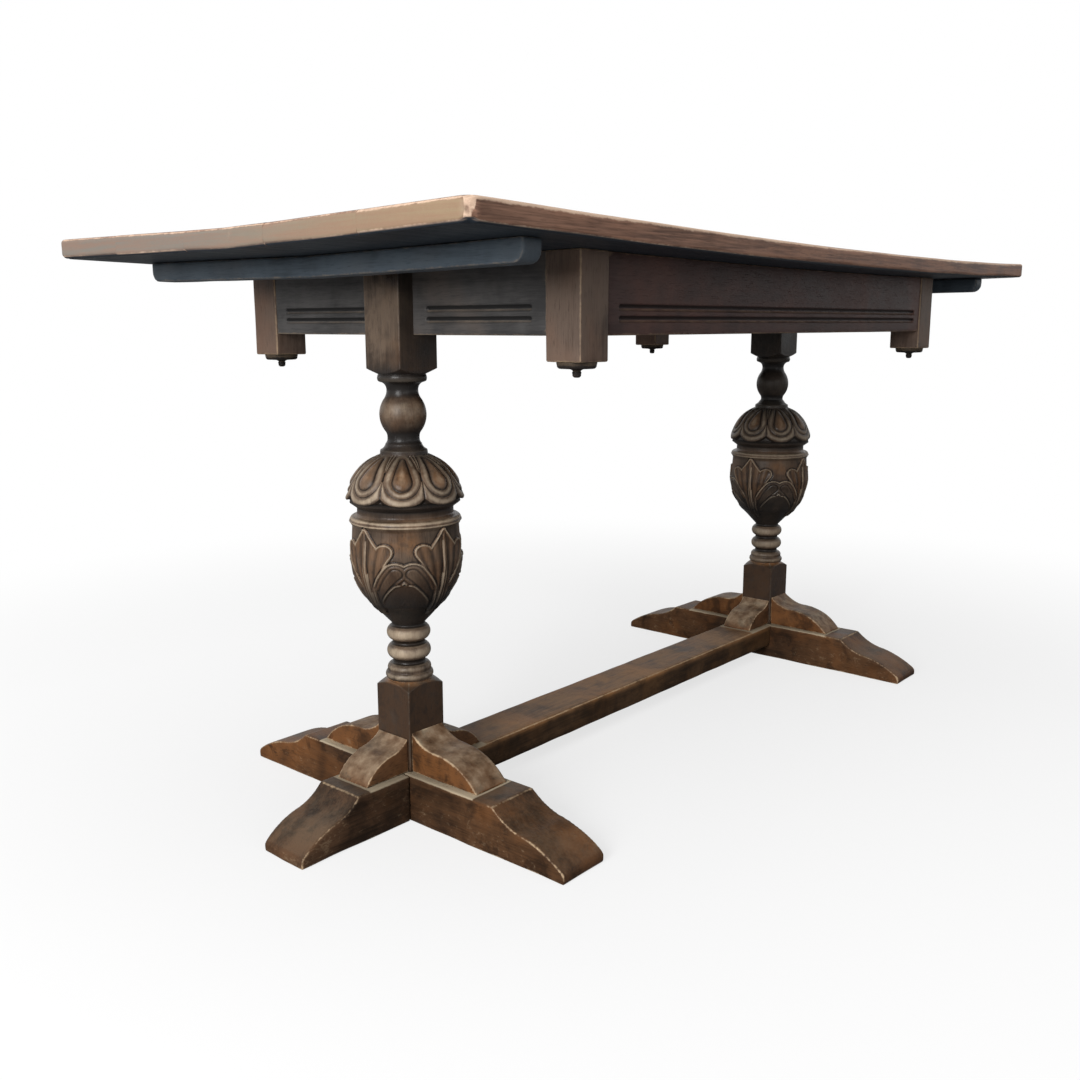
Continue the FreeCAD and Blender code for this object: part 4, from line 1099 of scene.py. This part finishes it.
def steel():
    """Dull screw steel with darker, rusty patches."""
    finish = Finish("screw_steel")
    place = finish.add("TexCoord", output=3)
    patch = finish.noise(place, 260.0, 4.0, 0.6)
    colour = finish.mixed(finish.fitted(patch, 0.42, 0.68), tint(118, 112, 104), tint(74, 56, 44))
    finish.feed(finish.shader.inputs["Base Color"], colour)
    finish.shader.inputs["Metallic"].default_value = 0.9
    finish.feed(finish.shader.inputs["Roughness"], finish.fitted(patch, 0.3, 0.7, 0.32, 0.6))
    bump = finish.add("Bump", {"Strength": 0.3, "Distance": 0.0004, "Height": patch})
    finish.feed(finish.shader.inputs["Normal"], bump)
    return finish.material


# The pale worn colour also serves for painted highlights, and the dust colour for a painted sheen.
WORN_AND_HIGHLIGHT = tint(190, 164, 132)
DUST_AND_SHEEN = tint(196, 180, 154)
END_GRAIN = (tint(146, 127, 102), tint(122, 117, 109))
# The top boards' lower face is painted a dark bluish shade.
top_oak = oak("oak_top_boards", X, tint(84, 62, 52), tint(142, 108, 90), tint(154, 111, 88),
              tint(218, 190, 166), DUST_AND_SHEEN, rub_and_highlight=0.85, dusty=0.1, lively=0.3, blotchy=0.18, ends=END_GRAIN,
              underside_shade=tint(41, 47, 54))
# The battens' bluish grey is painted shade under the top.
batten_oak_painted_shade = oak("oak_battens", Y, tint(55, 62, 69), tint(76, 85, 93), tint(80, 85, 90), WORN_AND_HIGHLIGHT, DUST_AND_SHEEN, rub_and_highlight=0.3)
side_oak = oak("oak_side_rails", X, tint(50, 37, 35), tint(70, 54, 51), tint(88, 62, 55), WORN_AND_HIGHLIGHT, DUST_AND_SHEEN,
               rub_and_highlight=0.25)
end_oak = oak("oak_end_rails", Y, tint(58, 57, 57), tint(82, 80, 79), tint(94, 85, 79), WORN_AND_HIGHLIGHT, DUST_AND_SHEEN, rub_and_highlight=0.25)
post_oak = oak("oak_posts", Z, tint(62, 50, 44), tint(102, 87, 77), tint(112, 88, 74), WORN_AND_HIGHLIGHT, DUST_AND_SHEEN, rub_and_highlight=0.45)
# The pendants are painted near black, as painted shade under the posts.
pendant_oak_painted_shade = oak("oak_pendants", Z, tint(26, 24, 23), tint(38, 34, 32), tint(46, 38, 34), WORN_AND_HIGHLIGHT, DUST_AND_SHEEN, rub_and_highlight=0.12)
column_oak = oak("oak_columns", Z, tint(48, 38, 31), tint(104, 88, 74), tint(158, 110, 68),
                 tint(194, 176, 152), DUST_AND_SHEEN, rub_and_highlight=0.85, dusty=0.2, gloss=0.33, shine=0.16, lively=0.2,
                 blotchy=0.62, mottle=0.35, stain_and_shade_tint=tint(33, 31, 30))
foot_oak = oak("oak_feet_across", Y, tint(36, 24, 16), tint(84, 58, 38), tint(122, 79, 45), WORN_AND_HIGHLIGHT, DUST_AND_SHEEN,
               dusty=0.1, shine=0.11, scuffs=0.65, mottle=0.6)
beam_oak = oak("oak_feet_along", X, tint(37, 26, 18), tint(84, 61, 44), tint(116, 80, 52), WORN_AND_HIGHLIGHT, DUST_AND_SHEEN,
               dusty=0.1, shine=0.1, scuffs=0.65, mottle=0.6)
# The stretcher's oak is painted lighter than the feet's: painted light that makes up for the top's shade over
# it.
stretcher_oak_painted_light = oak("oak_stretcher_painted_light", X, tint(62, 45, 31), tint(142, 106, 74), tint(160, 114, 72), WORN_AND_HIGHLIGHT, DUST_AND_SHEEN,
                    dusty=0.1, shine=0.06, scuffs=0.3, mottle=0.35)
inner_oak = oak("oak_inner", X, tint(50, 38, 30), tint(84, 66, 52), tint(110, 86, 66), WORN_AND_HIGHLIGHT, DUST_AND_SHEEN, rub_and_highlight=0.2)
screw_steel = steel()

# Top: five boards and two battens

for number in range(1, 6):
    board("top_board_" + str(number), number)
for seed, end in enumerate(ENDS):
    skin("batten_" + end, FOOT_VOXEL, 3, batten_oak_painted_shade, "oak_frame", wear=0.0006, seed=20 + seed)

# Frame: posts, pendants and fluted rails

for seed, (end, side) in enumerate((end, side) for end in ENDS for side in SIDES):
    name = "post_" + end + "_" + side
    points, quads, near = plank(*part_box(name), POST_ROUND, POST_STEPS, wear=0.0008, seed=30 + seed)
    piece("worn_" + name, follow_top(points, POST_FOLLOWS), quads, post_oak, "oak_frame", name, wear=near)
    pendant(end, side, pendant_oak_painted_shade)


def rail(name, along, across, outward, breaks, finish, seed):
    """A rail between its posts with two stopped flutes in its outer face, in one run or broken by a block."""
    low, high = corners_of(name)
    start = low[along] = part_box("post_near_front")[1][along] - TUCK
    end = high[along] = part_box("post_far_back")[0][along] + TUCK
    heights = [low[Z] + height for height in FLUTE_HEIGHTS]
    stops = [start, *breaks, end]
    runs = [(first + FLUTE_MARGIN, last - FLUTE_MARGIN) for first, last in zip(stops[::2], stops[1::2])]
    bands = [[], [], [(heights[0] - FLUTE_BAND, heights[-1] + FLUTE_BAND, FLUTE_STEP)]]
    past, short = STOP_BAND
    for first, last in runs:
        bands[along] += [(first - past, first + short, STOP_STEP), (last - short, last + past, STOP_STEP)]
    steps = [RAIL_STEPS[0]] * 3
    steps[across] = RAIL_STEPS[1]
    steps[Z] = RAIL_STEPS[2]
    points, quads, near = plank(low, high, RAIL_ROUND, steps, bands, seed=seed)
    face = high[across] if outward > 0 else low[across]
    on_face = np.abs(points[:, across] - face) < FACE_DEPTH
    cut = np.zeros(len(points))
    shaded = np.zeros(len(points))
    for height in heights:
        for first, last in runs:
            before = first + FLUTE_HALF_WIDTH - points[:, along]
            after = points[:, along] - last + FLUTE_HALF_WIDTH
            beyond = np.maximum(np.maximum(before, after), 0.0)
            away = np.hypot(beyond, points[:, Z] - height) / FLUTE_HALF_WIDTH
            cut = np.maximum(cut, np.clip(1 - away ** 2, 0.0, None) ** FLUTE_POWER)
        upper = smooth(points[:, Z] - height, *FLUTE_SHADE) * (points[:, Z] < height + FLUTE_BAND)
        shaded = np.maximum(shaded, upper)
    cut = np.where(on_face, cut, 0.0)
    points[:, across] -= outward * cut * FLUTE_DEPTH
    # The cavity mark paints the flute's highlight, and its shade from the middle up.
    marks = {"wear": near, "cavity": cut * (FLUTE_HIGHLIGHT_MARK - FLUTE_SHADE_MARK * shaded)}
    piece("fluted_" + name, follow_top(points, RAIL_FOLLOWS), quads, finish, "oak_frame", name, **marks)


block = (-UPPER_HALF * MM, UPPER_HALF * MM)
for number, (side, outward) in enumerate(zip(SIDES, (-1, 1))):
    rail("side_rail_" + side, X, Y, outward, (), side_oak, seed=40 + number)
for number, (end, outward) in enumerate(zip(ENDS, (-1, 1))):
    rail("end_rail_" + end, Y, X, outward, block, end_oak, seed=50 + number)

# Pedestals and base

for seed, end in enumerate(ENDS):
    column(end, column_oak)
    for node, finish in (("cross_foot_", foot_oak), ("outer_foot_", beam_oak)):
        skin(node + end, FOOT_VOXEL, 4, finish, "oak_base", wear=0.0009, seed=60 + seed)
    for turn, way in enumerate(BRACKET_WAYS):
        finish = beam_oak if way in ("east", "west") else foot_oak
        name = "bracket_" + end + "_" + way
        skin(name, BRACKET_VOXEL, 4, finish, "oak_base", wear=0.0008, seed=70 + 4 * seed + turn)
low, high = corners_of("stretcher")
low[X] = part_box("cross_foot_near")[1][X] - TUCK
high[X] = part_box("cross_foot_far")[0][X] + TUCK
points, quads, near = plank(low, high, STRETCHER_ROUND, STRETCHER_STEPS, wear=0.0009, seed=90)
to_flank = np.minimum(points[:, Y] - low[Y], high[Y] - points[:, Y])
below_edge = 1 - smooth(points[:, Z], *(high[Z] - drop for drop in FLANK_DROPS))
flank = (1 - smooth(to_flank, *FLANK_DEPTHS)) * below_edge
marks = {"wear": near, "ledge": beside_brackets(points),
         "stain_and_shade": np.maximum(by_column(points), FLANK_STAIN_SHARE * flank)}
piece("worn_stretcher", points, quads, stretcher_oak_painted_light, "oak_base", "stretcher", **marks)

# Pieces that keep their CAD shape

CARRIED = {
    "top_tongues": inner_oak,
    "batten_screws": screw_steel,
    "top_buttons": inner_oak,
    "button_screws": screw_steel,
    "rail_pegs": post_oak,
    "bearer": inner_oak,
    "column_pegs": column_oak,
    "bracket_dowels": inner_oak,
    "foot_pegs": inner_oak,
}
for name, finish in CARRIED.items():
    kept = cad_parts[name]
    kept.data.materials.clear()
    kept.data.materials.append(finish)

# Studio: pale floor, white surroundings, soft light and the camera of the photograph

FLOOR_HALF = 12.0
FLOOR_Z = -0.0004
WHITE = (1.0, 1.0, 1.0, 1.0)
FLOOR_SEEN = (0.95, 0.95, 0.95, 1.0)
FLOOR_LIT = (0.3, 0.3, 0.3, 1.0)
FLOOR_FADE = (0.8, 2.0, 0.72, 1.0)
STUDIO_STRENGTH = 0.22
floor_mesh = bpy.data.meshes.new("floor")
floor_corners = [(x * FLOOR_HALF, y * FLOOR_HALF, FLOOR_Z) for x, y in ((-1, -1), (1, -1), (1, 1), (-1, 1))]
floor_mesh.from_pydata(floor_corners, [], [(0, 1, 2, 3)])
floor = bpy.data.objects.new("floor", floor_mesh)
bpy.context.scene.collection.objects.link(floor)
paper = Finish("pale_floor")
paper.shader.inputs["Roughness"].default_value = 0.9
paper.shader.inputs["Specular IOR Level"].default_value = 0.1
seen = paper.add("LightPath", output=0)
paper.feed(paper.shader.inputs["Base Color"], paper.mixed(seen, FLOOR_LIT, FLOOR_SEEN))
glow = paper.add("Emission", {"Color": WHITE, "Strength": 1.0})
away = paper.add("VectorMath", {0: paper.add("NewGeometry")}, 1, operation="LENGTH")
share = paper.maths("MULTIPLY", seen, paper.fitted(away, *FLOOR_FADE))
blended = paper.add("MixShader", {0: share, 1: paper.shader.outputs[0], 2: glow})
paper.feed(paper.tree.nodes["Material Output"].inputs["Surface"], blended)
floor_mesh.materials.append(paper.material)

world = bpy.data.worlds.new("studio")
bpy.context.scene.world = world
world.use_nodes = True
sky = world.node_tree.nodes
links = world.node_tree.links
soft = sky["Background"]
white = sky.new("ShaderNodeBackground")
for light, strength in ((soft, STUDIO_STRENGTH), (white, 1.0)):
    light.inputs["Color"].default_value = WHITE
    light.inputs["Strength"].default_value = strength
path = sky.new("ShaderNodeLightPath")
shown = path.outputs["Is Camera Ray"]
for ray in ("Is Transmission Ray", "Is Glossy Ray"):
    either = sky.new("ShaderNodeMath")
    either.operation = "MAXIMUM"
    links.new(shown, either.inputs[0])
    links.new(path.outputs[ray], either.inputs[1])
    shown = either.outputs[0]
choice = sky.new("ShaderNodeMixShader")
links.new(shown, choice.inputs[0])
links.new(soft.outputs[0], choice.inputs[1])
links.new(white.outputs[0], choice.inputs[2])
links.new(choice.outputs[0], sky["World Output"].inputs["Surface"])


def softbox(name, place, target, size, power):
    """A square area light at a place, turned to a target."""
    data = bpy.data.lights.new(name, "AREA")
    data.size = size
    data.energy = power
    lamp = bpy.data.objects.new(name, data)
    lamp.location = place
    lamp.rotation_euler = (Vector(target) - Vector(place)).to_track_quat("-Z", "Y").to_euler()
    bpy.context.scene.collection.objects.link(lamp)


softbox("key", place=(-3.6, -0.8, 1.5), target=(0.0, 0.0, 0.35), size=1.6, power=138.0)
softbox("fill", place=(-0.9, -3.6, 1.3), target=(0.0, 0.0, 0.35), size=1.8, power=18.0)
softbox("overhead", place=(0.0, 0.0, 3.4), target=(0.0, 0.0, 0.0), size=2.6, power=42.0)

# The camera of the photograph: place, then turn, tilt and roll in degrees, and focal length in millimetres.
CAMERA_PLACE = (-1.4312, -1.05431, 0.6503)
CAMERA_TURN = 40.849
CAMERA_TILT = -11.19
CAMERA_ROLL = -0.109
CAMERA_LENS = 36.193
SENSOR_WIDTH = 36.0
camera_data = bpy.data.cameras.new("camera")
camera_data.sensor_width = SENSOR_WIDTH
camera_data.lens = CAMERA_LENS
camera = bpy.data.objects.new("camera", camera_data)
heading = Matrix.Rotation(math.radians(CAMERA_TURN - 90), 4, "Z")
tilt = Matrix.Rotation(math.radians(90 + CAMERA_TILT), 4, "X")
roll = Matrix.Rotation(math.radians(CAMERA_ROLL), 4, "Z")
camera.matrix_world = Matrix.Translation(CAMERA_PLACE) @ heading @ tilt @ roll
bpy.context.scene.collection.objects.link(camera)
bpy.context.scene.camera = camera
bpy.context.scene.view_settings.view_transform = "Standard"
